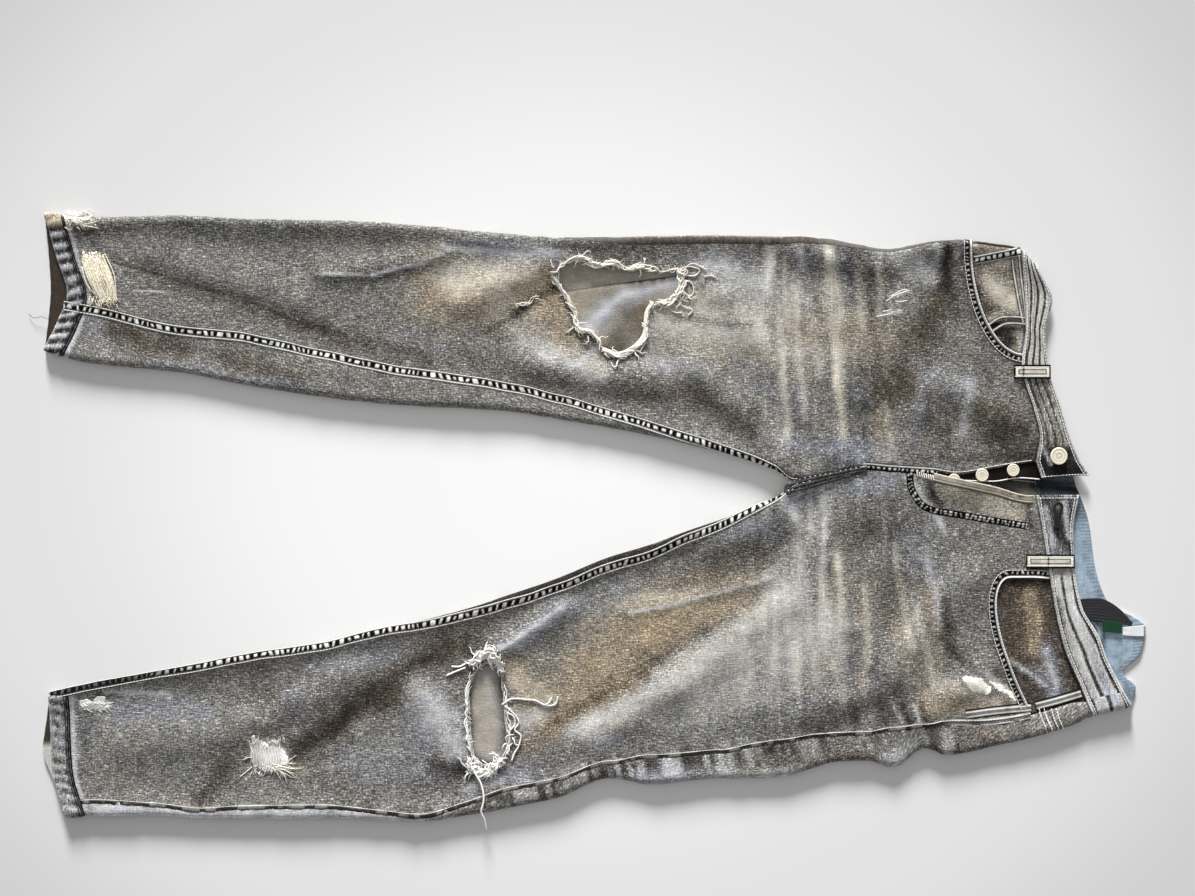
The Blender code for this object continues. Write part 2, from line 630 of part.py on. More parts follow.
def make_labels():
    """The woven label inside the back waistband, with the two tabs sewn on with it."""
    on_band = DOUBLE_WALL + CLEAR + LABEL_WALL / 2
    upper = [(484, -83), (497, -82), (509, -83), (524, -92), (538, -107)]
    lower = [(486, -104), (495, -105), (507, -106), (522, -107), (536, -109.5)]
    make_label("label", upper, lower, on_band, LABEL_CLOTH)
    upper = [(507, -104), (517, -105), (527, -107)]
    lower = [(508, -115), (517, -116), (527, -117)]
    make_label("size_tab", upper, lower, on_band + LABEL_WALL + CLEAR, LABEL_CLOTH)
    upper = [(528, -111), (539, -110), (549, -109)]
    lower = [(528, -119), (539, -120), (549, -120)]
    make_label("care_tab", upper, lower, on_band, PALE_COTTON)


def main():
    clear_scene()
    front_right, grid_right, back_right = make_half("right", RIGHT)
    front_left, grid_left, back_left = make_half("left", LEFT)
    make_waistband(grid_right[1][-1], back_right, grid_left[1][-1], back_left)
    cut(front_right, "knee_cutter_right", RIP_RIGHT_UPPER + RIP_RIGHT_LOWER)
    cut(front_left, "knee_cutter_left", RIP_LEFT_UPPER + RIP_LEFT_LOWER)
    make_right_pocket(front_right, grid_right)
    make_left_pocket(front_left, grid_left)
    make_fly_shield()
    make_buttons()
    make_belt_loop("belt_loop_right", RIGHT, (419, 455), (151, 137))
    make_belt_loop("belt_loop_left", LEFT, (431, 479), (-38, -52))
    make_labels()


main()
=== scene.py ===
"""Ripped slim jeans, laid flat on a white table with the front up: the finished cloth, seams, rips and trims.

Lengths are millimetres, and each mesh is put in metres when it is made. The legs run along -X and the waist
lies at +X. Each half is one flattened tube of denim. A place on it is its x and its w: w runs from 0 at the
outer fold to 1 at the inner fold over the top, and on to 2 underneath.
"""

import math

import bpy
import numpy as np
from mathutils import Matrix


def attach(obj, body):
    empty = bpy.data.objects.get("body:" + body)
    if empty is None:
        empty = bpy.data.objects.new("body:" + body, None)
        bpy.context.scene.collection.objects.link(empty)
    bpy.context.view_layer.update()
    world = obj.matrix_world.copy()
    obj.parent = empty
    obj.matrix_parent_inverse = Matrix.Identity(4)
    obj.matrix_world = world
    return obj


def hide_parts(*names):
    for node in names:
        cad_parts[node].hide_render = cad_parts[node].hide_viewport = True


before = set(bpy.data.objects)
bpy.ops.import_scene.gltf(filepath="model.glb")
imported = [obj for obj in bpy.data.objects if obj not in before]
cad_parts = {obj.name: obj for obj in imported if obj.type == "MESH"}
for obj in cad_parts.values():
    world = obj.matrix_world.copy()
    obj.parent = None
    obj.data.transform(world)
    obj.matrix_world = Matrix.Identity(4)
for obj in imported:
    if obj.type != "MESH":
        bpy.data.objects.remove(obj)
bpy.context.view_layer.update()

MM = 0.001

# ---------------------------------------------------------------------------------------------------
# The view and the studio: looked at from straight above on a white table, painted greyer towards its edges as a painted
# falloff of light round its bright middle.
# One broad low lamp stands beyond the right leg and the room's own pale light fills the rest.

SEEN_X, SEEN_Y, SEEN_WIDTH, CAMERA_HEIGHT, SENSOR = 3.5, 68.0, 1195.0, 2600.0, 36.0
LAMP_LOW, LAMP_AROUND, LAMP_SOFT, LAMP_STRENGTH = 17.0, 6.0, 14.0, 6.6  # degrees, and watts a square metre
ROOM_LIGHT, BACKGROUND = 0.38, 0.88
TABLE_SIZE, TABLE_TOP, TABLE_CENTRE, TABLE_REACH = 40000.0, -0.3, (-20.0, 70.0), (800.0, 690.0)
# The table's tones by distance from its middle: a painted falloff of light, white in the middle and grey at the edges.
TABLE_FALLOFF_TONES = ((0.0, 0.97), (0.30, 0.94), (0.72, 0.77), (1.0, 0.63))

camera_data = bpy.data.cameras.new("camera")
camera_data.sensor_width = SENSOR
camera_data.lens = SENSOR * CAMERA_HEIGHT / SEEN_WIDTH
camera_data.clip_end = 100
camera = bpy.data.objects.new("camera", camera_data)
camera.location = (SEEN_X * MM, SEEN_Y * MM, CAMERA_HEIGHT * MM)
scene = bpy.context.scene
scene.collection.objects.link(camera)
scene.camera = camera
scene.view_settings.view_transform = "Standard"

lamp_data = bpy.data.lights.new("lamp", "SUN")
lamp_data.energy = LAMP_STRENGTH
lamp_data.angle = math.radians(LAMP_SOFT)
lamp = bpy.data.objects.new("lamp", lamp_data)
lamp.rotation_euler = (math.radians(LAMP_LOW - 90), 0, math.radians(LAMP_AROUND))
scene.collection.objects.link(lamp)


def node(tree, kind, sockets=(), **settings):
    """Add one shader node, set its properties, and link or fill the sockets given."""
    made = tree.nodes.new("ShaderNode" + kind)
    for key, value in settings.items():
        setattr(made, key, value)
    for key, value in dict(sockets).items():
        if isinstance(value, bpy.types.NodeSocket):
            tree.links.new(value, made.inputs[key])
        else:
            made.inputs[key].default_value = value
    return made


def sums(tree, operation, a, b=0.0):
    """One step of arithmetic on two numbers or sockets."""
    return node(tree, "Math", {0: a, 1: b}, operation=operation).outputs[0]


def fresh_material(name, roughness):
    """An empty material with a Principled shader, its tree and that shader."""
    made = bpy.data.materials.new(name)
    made.use_nodes = True
    shader = made.node_tree.nodes["Principled BSDF"]
    shader.inputs["Roughness"].default_value = roughness
    return made, made.node_tree, shader


room = bpy.data.worlds.new("room")
room.use_nodes = True
scene.world = room
tree = room.node_tree
paths = node(tree, "LightPath")
seen = sums(tree, "MAXIMUM", paths.outputs["Is Camera Ray"], paths.outputs["Is Glossy Ray"])
seen = sums(tree, "MAXIMUM", seen, paths.outputs["Is Transmission Ray"])
level = sums(tree, "ADD", sums(tree, "MULTIPLY", seen, BACKGROUND - ROOM_LIGHT), ROOM_LIGHT)
tree.links.new(level, tree.nodes["Background"].inputs["Strength"])
tree.nodes["Background"].inputs["Color"].default_value = (1.0, 1.0, 1.0, 1.0)

table_white, tree, shader = fresh_material("table_white", 0.9)
place = node(tree, "TexCoord").outputs["Object"]
squeezed = {"Vector": place, "Location": (-TABLE_CENTRE[0] / TABLE_REACH[0], -TABLE_CENTRE[1] / TABLE_REACH[1], 0),
            "Scale": (1 / (TABLE_REACH[0] * MM), 1 / (TABLE_REACH[1] * MM), 1)}
away = node(tree, "VectorMath", {0: node(tree, "Mapping", squeezed).outputs[0]}, operation="LENGTH")
ramp = node(tree, "ValToRGB", {"Fac": away.outputs["Value"]})
ramp.color_ramp.interpolation = "EASE"
for at, tone in TABLE_FALLOFF_TONES:
    stop = ramp.color_ramp.elements.new(at) if 0 < at < 1 else ramp.color_ramp.elements[int(-at)]
    stop.color = (tone, tone, tone, 1.0)
tree.links.new(ramp.outputs["Color"], shader.inputs["Base Color"])
shader.inputs["Specular IOR Level"].default_value = 0.1

half_table = TABLE_SIZE / 2 * MM
corners = [(x * half_table, y * half_table, TABLE_TOP * MM) for x, y in ((-1, -1), (1, -1), (1, 1), (-1, 1))]
table_mesh = bpy.data.meshes.new("table")
table_mesh.from_pydata(corners, [], [(0, 1, 2, 3)])
table_mesh.materials.append(table_white)
table_top = bpy.data.objects.new("table", table_mesh)
scene.collection.objects.link(table_top)

# ---------------------------------------------------------------------------------------------------
# The cut of the two halves: the outline of each flattened leg, the hem, the waist and the large folds that
# the denim keeps from being worn. Every panel, seam and trim below takes its shape from these.

WALL, DOUBLE_WALL = 1.2, 2.4
FOLD_RADIUS = 6.0  # of the side folds, to the middle of the wall
LIE = 5.3  # height of the front cloth's middle where it lies on the back
LOWEST = 4.4
BULGE, BULGE_REACH = 0.75, 17.0
HEM_DEPTH, SEAM_GAP = 17.0, 0.6
CROTCH_X, OPEN_X = 200.0, 250.0


def table(columns, *rows):
    """The columns of a short table by name, each as an array."""
    return dict(zip(columns.split(), np.array(rows, float).T, strict=True))


RIGHT = {
    "sections": table(
        "x     outer inner inner_back inseam_in outseam_in",
        (-550, 303, 166, 166, 50, -6),
        (-508, 298, 154, 154, 56, -6),
        (-414, 299, 144, 144, 45, -6),
        (-345, 296, 131, 131, 50, -6),
        (-268, 295, 119, 119, 45, -6),
        (-191, 291, 111, 111, 37, -6),
        (-95, 282, 106, 106, 28, -4),
        (-34, 277, 97, 97, 23, 0),
        (56, 279, 81, 81, 12, 8),
        (126, 280, 64, 64, 7, 8),
        (180, 279, 48, 48, 3, 8),
        (200, 279, 37, 37, 0, 7),
        (215, 278, 39, 39, 0, 6),
        (240, 275, 45, 45, 0, 5),
        (271, 269, 50, 42, 0, 3),
        (295, 266, 48, 42, 0, 2),
        (338, 273, 45, 41, 0, 0),
        (362, 275, 42, 40, 0, -2),
        (400, 271, 48, 38, 0, -2),
        (424, 266, 52, 36, 0, -2),
        (441, 250, 54, 34, 0, -2),
        (480, 238, 56, 30, 0, -2),
    ),
    "hem": table(
        "share front back",
        (0.00, -549, -549),
        (0.30, -537, -545),
        (0.55, -526, -543),
        (0.75, -535, -545),
        (1.00, -549, -549),
    ),
    "waist": table(
        "share front back front_top back_top",
        (0.00, 426, 426, 441, 441),
        (0.15, 428, 412, 457, 450),
        (0.33, 430, 408, 450, 447),
        (0.54, 426, 410, 455, 450),
        (0.72, 437, 420, 466, 462),
        (0.87, 444, 434, 474, 474),
        (1.00, 440, 440, 484, 481),
    ),
    # Each large fold is a soft ridge (rise > 0) or trough (rise < 0) from one point to another.
    "creases": table(
        "x0   y0   x1   y1   width rise",
        (-479, 252, -248, 169, 14, -1.2),
        (-440, 262, -300, 215, 20, 4),
        (-271, 241, -151, 261, 12, 3.5),
        (-300, 150, -120, 128, 16, 3.2),
        (-109, 186, -44, 224, 12, -1),
        (-130, 215, -50, 252, 16, 4.5),
        (-60, 150, 60, 130, 18, 4.8),
        (100, 150, 190, 60, 15, 5.1),
        (130, 220, 235, 66, 14, 3.5),
        (240, 250, 262, 120, 14, 3.2),
        (200, 262, 300, 245, 12, 3.8),
        (300, 220, 330, 110, 18, 4.2),
        (345, 130, 415, 95, 15, 4.2),
    ),
    # Small sharp ones that only the finished cloth has.
    "wrinkles": table(
        "x0   y0   x1   y1   width rise",
        (-271, 241, -220, 239, 2.5, 0.7),
        (-220, 239, -151, 261, 2.5, 0.8),
        (-479, 252, -345, 214, 2.4, -0.25),
        (-345, 214, -248, 169, 2.4, -0.3),
        (-134, 276, -24, 261, 4, 0.8),
        (176, 266, 196, 76, 5, 0.5),
        (236, 276, 246, 76, 5, 0.5),
        (205, 262, 208, 180, 6, -0.5),
        (300, 210, 292, 90, 5, 0.4),
        (352, 262, 350, 236, 5, -1.0),
        (362, 262, 346, 230, 5, 0.9),
        (330, 150, 322, 84, 6, 0.5),
        (372, 130, 366, 84, 6, 0.5),
    ),
}
LEFT = {
    "sections": table(
        "x     outer inner inner_back inseam_in outseam_in",
        (-550, -303, -178, -178, 4, 18),
        (-505, -299, -168, -168, 5, 18),
        (-439, -298, -156, -156, 5, 14),
        (-391, -301, -147, -147, 6, 12),
        (-354, -301, -139, -139, 6, 14),
        (-272, -301, -127, -127, 6, 15),
        (-215, -303, -113, -113, 6, 12),
        (-174, -304, -105, -105, 7, 9),
        (-128, -298, -93, -93, 9, 15),
        (-82, -290, -78, -78, 12, 22),
        (-36, -280, -62, -62, 13, 21),
        (16, -261, -41, -41, 13, 19),
        (56, -267, -29, -29, 13, 31),
        (90, -264, -16, -16, 11, 30),
        (126, -261, -4, -4, 9, 30),
        (158, -261, 9, 9, 6, 36),
        (186, -260, 20, 20, 2, 39),
        (200, -257, 31, 31, 0, 38),
        (215, -252, 37, 37, 0, 36),
        (240, -245, 43.2, 43.2, 0, 31),
        (271, -243, 49.4, 41.4, 0, 30),
        (298, -250, 47.2, 41.4, 0, 41),
        (331, -231, 44.4, 40.4, 0, 26),
        (352, -238, 40, 39.6, 0, 36),
        (400, -229, 29.5, 37.4, 0, 28),
        (435, -221, 21, 34, 0, 26),
        (472, -210, 21, 30, 0, 26),
        (497, -199, 21, 28, 0, 18),
        (552, -186, 21, 24, 0, 10),
    ),
    "hem": table(
        "share front back",
        (0.00, -527, -527),
        (0.35, -540, -543),
        (0.55, -542, -551),
        (0.80, -543, -547),
        (1.00, -544, -544),
    ),
    "waist": table(
        "share front back front_top back_top",
        (0.00, 497, 497, 536, 536),
        (0.08, 490, 500, 528, 541),
        (0.16, 484, 498, 520, 528),
        (0.24, 477, 503, 512, 546),
        (0.35, 468, 503, 504, 551),
        (0.50, 460, 478, 487, 512),
        (0.66, 454, 458, 480, 500),
        (0.85, 447, 450, 478, 494),
        (1.00, 440, 440, 484, 482),
    ),
    "creases": table(
        "x0   y0   x1   y1   width rise",
        (-300, -236, -232, -191, 12, -1.2),
        (-232, -191, -150, -132, 12, -1.2),
        (-177, -170, -140, -235, 18, 4.2),
        (-330, -205, -245, -160, 18, 3.8),
        (-470, -230, -350, -215, 20, 3.5),
        (-94, -134, -30, -92, 13, 4.8),
        (-34, -208, 62, -143, 12, -1.2),
        (62, -143, 167, -76, 12, -1.2),
        (-5, -222, 81, -170, 20, 4.0),
        (81, -170, 186, -90, 22, 3.6),
        (35, -97, 176, -62, 9, 1.2),
        (235, -30, 258, -110, 13, 3.2),
        (120, -30, 190, 0, 14, 4.2),
        (300, -150, 380, -60, 18, 4.2),
        (330, -200, 395, -150, 14, 4.2),
        (210, -200, 300, -165, 16, 3.8),
        (345, 34, 375, 34, 20, 6.1),
    ),
    "wrinkles": table(
        "x0   y0   x1   y1   width rise",
        (35, -97, 81, -88, 2.4, 0.3),
        (81, -88, 176, -62, 2.4, 0.3),
        (235, -10, 250, -110, 6, 0.5),
        (262, 30, 262, -60, 4, 0.5),
        (322, 20, 348, -70, 4, 0.5),
        (348, -70, 372, -150, 4, 0.5),
        (-94, -134, -34, -92, 3, 0.8),
        (370, -160, 392, -176, 5, 1.0),
        (262, -190, 278, -212, 4, 0.7),
        (286, -188, 300, -214, 4, -0.7),
        (306, -186, 316, -214, 4, 0.7),
    ),
}
HALVES = {"right": RIGHT, "left": LEFT}


def smooth(x, xs, ys):
    """A monotone cubic through the rows (xs, ys), held flat past both ends."""
    step = np.diff(xs)
    rise = np.diff(ys) / step
    slope = np.concatenate([rise[:1], np.zeros(len(xs) - 2), rise[-1:]])
    same_way = rise[:-1] * rise[1:] > 0
    total = np.where(same_way, rise[:-1] + rise[1:], 1.0)
    slope[1:-1] = np.where(same_way, 2 * rise[:-1] * rise[1:] / total, 0.0)
    x = np.clip(x, xs[0], xs[-1])
    i = np.clip(np.searchsorted(xs, x) - 1, 0, len(step) - 1)
    t = (x - xs[i]) / step[i]
    start = (1 + 2 * t) * (1 - t) ** 2 * ys[i] + t * (1 - t) ** 2 * step[i] * slope[i]
    return start + t**2 * (3 - 2 * t) * ys[i + 1] + t**2 * (t - 1) * step[i] * slope[i + 1]


def ease(t):
    """0 to 1 with level ends: 3 t squared less 2 t cubed."""
    t = np.clip(t, 0, 1)
    return t * t * (3 - 2 * t)


def bell(distance, width):
    """1 on a line, falling off as a Gaussian over the width."""
    return np.exp(-((distance / width) ** 2))


def from_line(x, y, x0, y0, x1, y1):
    """The distance from each point to one straight stretch."""
    run, climb = x1 - x0, y1 - y0
    along = np.clip(((x - x0) * run + (y - y0) * climb) / (run**2 + climb**2), 0, 1)
    return np.hypot(x - x0 - along * run, y - y0 - along * climb)


def ridges(rows, x, y):
    """The sum of the rows' ridges, each a bell across its line."""
    total = np.zeros(np.broadcast(x, y).shape)
    for x0, y0, x1, y1, width, rise in zip(*rows.values(), strict=True):
        total = total + rise * bell(from_line(x, y, x0, y0, x1, y1), width)
    return total


LATTICE = 64  # the hills repeat after so many steps


def hills(x, y, size, seed):
    """Smooth random hills from -1 to 1: seeded values on a square lattice, eased from one to the next."""
    values = np.random.default_rng(seed).uniform(-1, 1, (LATTICE, LATTICE))
    column_at, row_at = np.floor(x / size).astype(int), np.floor(y / size).astype(int)
    across, up = ease(x / size - column_at), ease(y / size - row_at)

    def corner(right, above):
        """The value at one of the four lattice points round each place."""
        return values[(column_at + right) % LATTICE, (row_at + above) % LATTICE]

    low = corner(0, 0) * (1 - across) + corner(1, 0) * across
    high = corner(0, 1) * (1 - across) + corner(1, 1) * across
    return low * (1 - up) + high * up


def column(half, name, x):
    """One column of the half's sections at any x, by the monotone cubic."""
    return smooth(x, half["sections"]["x"], half["sections"][name])


def on_top(w):
    """Whether a place w is on the upper side of the tube."""
    return np.mod(w, 2.0) <= 1.0


def share_of(w):
    """How far across the tube, from the outer fold (0) to the inner (1), a place w is."""
    turn = np.mod(w, 2.0)
    return np.where(turn <= 1.0, turn, 2.0 - turn)


def lined_up(half, rows, suffix, w):
    """The x of a line across the tube, such as the hem's edge, at place w."""
    rows = half[rows]
    front = smooth(share_of(w), rows["share"], rows["front" + suffix])
    back = smooth(share_of(w), rows["share"], rows["back" + suffix])
    return np.where(on_top(w), front, back)


def closed_at(x):
    """1 along the legs, where the inner side is a fold, and 0 above the crotch, where it is open."""
    return 1 - ease((x - CROTCH_X) / (OPEN_X - CROTCH_X))


def quarter(distance):
    """The height of a quarter circle, 0 at a fold's tip and 1 from one fold radius inwards."""
    t = 1 - np.clip(distance / FOLD_RADIUS, 0, 1)
    return np.sqrt(1 - t * t)


def cloth(half, x, w, lie=LIE, bottom=WALL / 2, beyond=0.0):
    """The middle of the cloth: a quarter ellipse at each fold, and between them the front at the height
    lie plus its large folds, the back flat. beyond carries the top past the centre."""
    x, w = np.broadcast_arrays(np.asarray(x, float), np.asarray(w, float))
    top, share = on_top(w), share_of(w)
    outer = column(half, "outer", x)
    inner = np.where(top, column(half, "inner", x), column(half, "inner_back", x))
    y = outer + (inner - outer) * (share + beyond)
    width = np.abs(inner - outer)
    closed = closed_at(x)
    arc = quarter(share * width) * (1 - (1 - quarter((1 - share) * width)) * closed)
    near = bell(share * width, BULGE_REACH) + closed * bell((1 - share) * width, BULGE_REACH)
    held = lie + (2 * FOLD_RADIUS - WALL / 2 - lie) * near * BULGE
    level = np.maximum(held + ridges(half["creases"], x, y), LOWEST + lie - LIE)
    z = np.where(top, FOLD_RADIUS + (level - FOLD_RADIUS) * arc, FOLD_RADIUS - (FOLD_RADIUS - bottom) * arc)
    return np.stack([x, y, z], axis=-1)


def across_flat(half, x, w):
    """The width of the flattened tube on the side that w lies on."""
    inner = np.where(on_top(w), column(half, "inner", x), column(half, "inner_back", x))
    return np.abs(inner - column(half, "outer", x))


def once_over(half, x):
    """The length of cloth over the top from fold to fold: the flat width and what each fold takes up."""
    taken_up = FOLD_RADIUS * (np.pi / 2 - 1)
    return np.abs(column(half, "inner", x) - column(half, "outer", x)) + taken_up * (1 + closed_at(x))


def around(half, x, length):
    """The place w at a length of cloth from the outer fold's tip, over the top and on underneath. From a
    tip inwards, the flat distance is the length less what the quarter circle takes up."""
    once = once_over(half, x)
    length = np.mod(length + once / 2, 2 * once) - once / 2
    by_inner = length > once / 2
    signed = np.where(by_inner, once - length, length)
    signed = np.where(length > 1.5 * once, length - 2 * once, signed)
    bent = np.minimum(np.abs(signed) / FOLD_RADIUS, np.pi / 2)
    folded = np.where(by_inner, closed_at(x), 1.0)
    inwards = np.abs(signed) - FOLD_RADIUS * (bent - 1 + np.cos(bent)) * folded
    width = np.abs(column(half, "inner", x) - column(half, "outer", x))
    share = np.sign(signed) * inwards / width
    return np.where(by_inner, 1 - share, share)


def place_at(half, x, y):
    """The place w on the top at a point (x, y)."""
    outer = column(half, "outer", x)
    return (outer - y) / (outer - column(half, "inner", x))


def seam_line(half, name, x):
    """How far round the tube from the outer fold a long seam lies."""
    given = column(half, name, x)
    return given if name == "outseam_in" else once_over(half, x) - given


PUCKERS = {  # rise and reach of the pulled cloth beside each long seam
    "inseam_in": (0.35, 9.0),
    "outseam_in": (0.55, 11.0),
}


def relief(half, x, y, w, length):
    """The finished cloth's own unevenness: its sharp wrinkles, soft random hills of three sizes, and
    puckers that run off the long seams."""
    seed = 10 if half is RIGHT else 20
    raised = ridges(half["wrinkles"], x, y)
    raised = raised + 0.45 * hills(x, y, 34, seed) + 0.26 * hills(x, y, 13, seed + 1) + 0.12 * hills(x, y, 5, seed + 2)
    for name, (rise, reach) in PUCKERS.items():
        beside = length - seam_line(half, name, x)
        wave = hills(x + 0.35 * beside, beside * 0.12, 6.5, seed + 3)
        raised = raised + rise * wave * bell(beside, reach)
    flat = 1 - bell((1 - share_of(w)) * across_flat(half, x, w), 6) * closed_at(x)
    return np.where(on_top(w), raised * (0.35 + 0.65 * flat), -0.5 * np.abs(raised))


def surface(half, x, w, lift=0.0, rough=1.0, lie=LIE, bottom=WALL / 2, beyond=0.0):
    """The cloth's outside and its normal at the places (x, w): the middle moved out along the normal by
    half a wall, the relief and the lift."""
    x, w = np.broadcast_arrays(np.asarray(x, float), np.asarray(w, float))
    small = 0.4
    turn = small / across_flat(half, x, w)
    shape = {"lie": lie, "bottom": bottom, "beyond": beyond}
    over = cloth(half, x, w + turn, **shape) - cloth(half, x, w - turn, **shape)
    along = cloth(half, x + small, w, **shape) - cloth(half, x - small, w, **shape)
    normal = np.cross(along, over) * (1.0 if half is LEFT else -1.0)
    normal /= np.linalg.norm(normal, axis=-1, keepdims=True)
    middle = cloth(half, x, w, **shape)
    share = share_of(w)
    length = np.where(share < 0.5, 1, -1) * share * across_flat(half, x, w)
    length = np.where(share < 0.5, length, once_over(half, x) - (1 - share) * across_flat(half, x, w))
    raised = rough * relief(half, x, middle[..., 1], w, length)
    return middle + (WALL / 2 + raised + lift)[..., None] * normal, normal


def to_linear(tone):
    """A colour given as 0 to 255 screen values, as linear light."""
    value = np.array(tone, float) / 255
    return np.where(value <= 0.04045, value / 12.92, ((value + 0.055) / 1.055) ** 2.4)


def mesh_piece(name, points, faces, *finishes):
    """A smooth piece at the origin, from points in millimetres and the faces between them."""
    mesh = bpy.data.meshes.new(name)
    mesh.from_pydata((points * MM).tolist(), [], faces)
    mesh.shade_smooth()
    for finish in finishes:
        mesh.materials.append(finish)
    piece = bpy.data.objects.new(name, mesh)
    scene.collection.objects.link(piece)
    return piece


def grid_piece(name, points, colours, weave, finishes, flip=False, keep=None, wall=WALL, ring=False, seated=False):
    """One cloth piece from a grid of points: a face between every four neighbours that are kept, the
    colours and the weave's own coordinates at each point, and a wall grown inwards from the outside. A
    seated piece has no wall: its last column joins its first, and a flat face closes each end."""
    rows, columns = points.shape[:2]
    index = np.arange(rows * columns).reshape(rows, columns)
    ends = [index[0].tolist(), index[-1, ::-1].tolist()] if seated else []
    if ring or seated:
        index = np.concatenate([index, index[:, :1]], axis=1)
    faces = np.stack([index[:-1, :-1], index[1:, :-1], index[1:, 1:], index[:-1, 1:]], axis=-1)
    faces = faces.reshape(-1, 4) if keep is None else faces[keep]
    if flip:
        faces, ends = faces[:, ::-1], [end[::-1] for end in ends]
    used, faces = np.unique(faces, return_inverse=True)
    piece = mesh_piece(name, points.reshape(-1, 3)[used], faces.reshape(-1, 4).tolist() + ends, *finishes)
    mesh = piece.data
    for key, value in colours.items():
        painted = mesh.attributes.new(key, "FLOAT_COLOR", "POINT")
        full = np.ones((len(used), 4))
        full[:, :3] = np.broadcast_to(value, (rows, columns, 3)).reshape(-1, 3)[used]
        painted.data.foreach_set("color", full.ravel())
    corners = np.empty(len(mesh.loops), dtype=np.int32)
    mesh.loops.foreach_get("vertex_index", corners)
    layer = mesh.uv_layers.new(name="weave")
    layer.data.foreach_set("uv", (weave.reshape(-1, 2)[used] * MM)[corners].ravel())
    if not seated:
        solid = piece.modifiers.new("wall", "SOLIDIFY")
        solid.thickness = wall * MM
        solid.offset = -1
        solid.material_offset = len(finishes) - 1
    return piece


def belongs(piece, slot, *nodes):
    """The piece rides with the garment and stands for those solids. The slot is not used."""
    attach(piece, "root")
    if nodes:
        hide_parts(*nodes)
    return piece


# ---------------------------------------------------------------------------------------------------
# Denim: cotton twill, black warp over a pale weft, stone washed to grey. Each piece carries its own wash
# as a painted colour, and the yarns' speckle and slubs go over it in the shader.

YARN_MEAN, GRAIN, CLOUD = 0.5, 0.54, 0.14


def denim(name, painted="wash", contrast=8.6, slub=1.0, roughness=0.88, warm=0.015, sheen=0.06, gloss=0.12):
    """Wash colour times 2 to the power of contrast times (yarns - mean), with less contrast where the wash
    is pale, and a little more light on rubbed yarns. The yarns are noises: slubs along the warp and the
    weft, a grain of one yarn's size and a cloud over all."""
    made, tree, shader = fresh_material(name, roughness)
    weave = node(tree, "UVMap", uv_map="weave").outputs[0]

    def yarns(size_x, size_y, detail):
        """A noise drawn out to so many millimetres along the warp and the weft."""
        scale = (1 / (size_x * MM), 1 / (size_y * MM), 1)
        stretched = node(tree, "Mapping", {"Vector": weave, "Scale": scale}).outputs[0]
        sockets = {"Vector": stretched, "Scale": 1.0, "Detail": detail, "Roughness": 0.6}
        return node(tree, "TexNoise", sockets, noise_dimensions="2D").outputs["Fac"]

    wash = node(tree, "Attribute", attribute_name=painted).outputs["Color"]
    mixed = 0.0
    for noise, share in ((yarns(7, 1.2, 1), 0.44 * slub), (yarns(1.3, 4, 1), 0.22 * slub),
                         (yarns(2.0, 1.6, 1.5), GRAIN), (yarns(16, 12, 2), CLOUD)):
        mixed = sums(tree, "ADD", mixed, sums(tree, "MULTIPLY", noise, share))
    centre = YARN_MEAN * (0.66 * slub + GRAIN + CLOUD) + 0.01
    paleness = node(tree, "RGBToBW", {"Color": wash}).outputs[0]
    strength = sums(tree, "ADD", sums(tree, "MULTIPLY", paleness, -2.6 * contrast), 1.46 * contrast)
    strength = sums(tree, "MAXIMUM", strength, 0.30 * contrast)
    power = sums(tree, "MULTIPLY", sums(tree, "SUBTRACT", mixed, centre), strength)
    factor = sums(tree, "POWER", 2.0, power)
    for size_x, size_y, share in ((16, 1.1, 0.22 * slub), (1.1, 14, 0.18 * slub)):
        rubbed = node(tree, "MapRange", {0: yarns(size_x, size_y, 0), 1: 0.60, 2: 0.74}).outputs[0]
        factor = sums(tree, "MULTIPLY", factor, sums(tree, "ADD", sums(tree, "MULTIPLY", rubbed, share), 1.0))
    speckled = node(tree, "VectorMath", {0: wash, 3: factor}, operation="SCALE").outputs[0]
    tint = node(tree, "MapRange", {0: yarns(13, 11, 1), 1: 0.35, 2: 0.65}).outputs[0]
    sockets = {"Factor": tint, 6: (1 + warm, 1.0, 1 - 1.4 * warm, 1), 7: (1 - warm, 1.0, 1 + 1.4 * warm, 1)}
    shift = node(tree, "Mix", sockets, data_type="RGBA").outputs[2]
    colour = node(tree, "VectorMath", {0: speckled, 1: shift}, operation="MULTIPLY").outputs[0]
    tree.links.new(colour, shader.inputs["Base Color"])
    bump = node(tree, "Bump", {"Height": mixed, "Strength": 0.55, "Distance": 0.0006})
    tree.links.new(bump.outputs[0], shader.inputs["Normal"])
    shader.inputs["Sheen Weight"].default_value = sheen
    shader.inputs["Sheen Roughness"].default_value = 0.6
    shader.inputs["Specular IOR Level"].default_value = gloss
    return made


WASHED = denim("washed_denim")
UNDERSIDE = denim("denim_underside", painted="lining", contrast=3.0, slub=0.6)
TONES = {
    "grey": to_linear((116, 114, 110)),
    "tan": to_linear((154, 139, 117)),
    "sand": to_linear((186, 179, 164)),
    "stone": to_linear((152, 145, 133)),
    "ash": to_linear((170, 168, 163)),
    "blue": to_linear((138, 141, 150)),
    "pale": to_linear((188, 189, 192)),
    "brown": to_linear((78, 70, 61)),
    "dark": to_linear((42, 38, 35)),
    "mauve": to_linear((94, 82, 75)),
    "slate": to_linear((84, 86, 92)),
    "white": to_linear((226, 226, 220)),
}
MID_WASH, WASH_DEPTH = 0.18, 0.2


def toned(colour, tone, cover):
    """The colour with a tone laid over it: each point goes towards the tone by its cover, from 0 to 1."""
    return colour + (tone - colour) * cover[..., None]


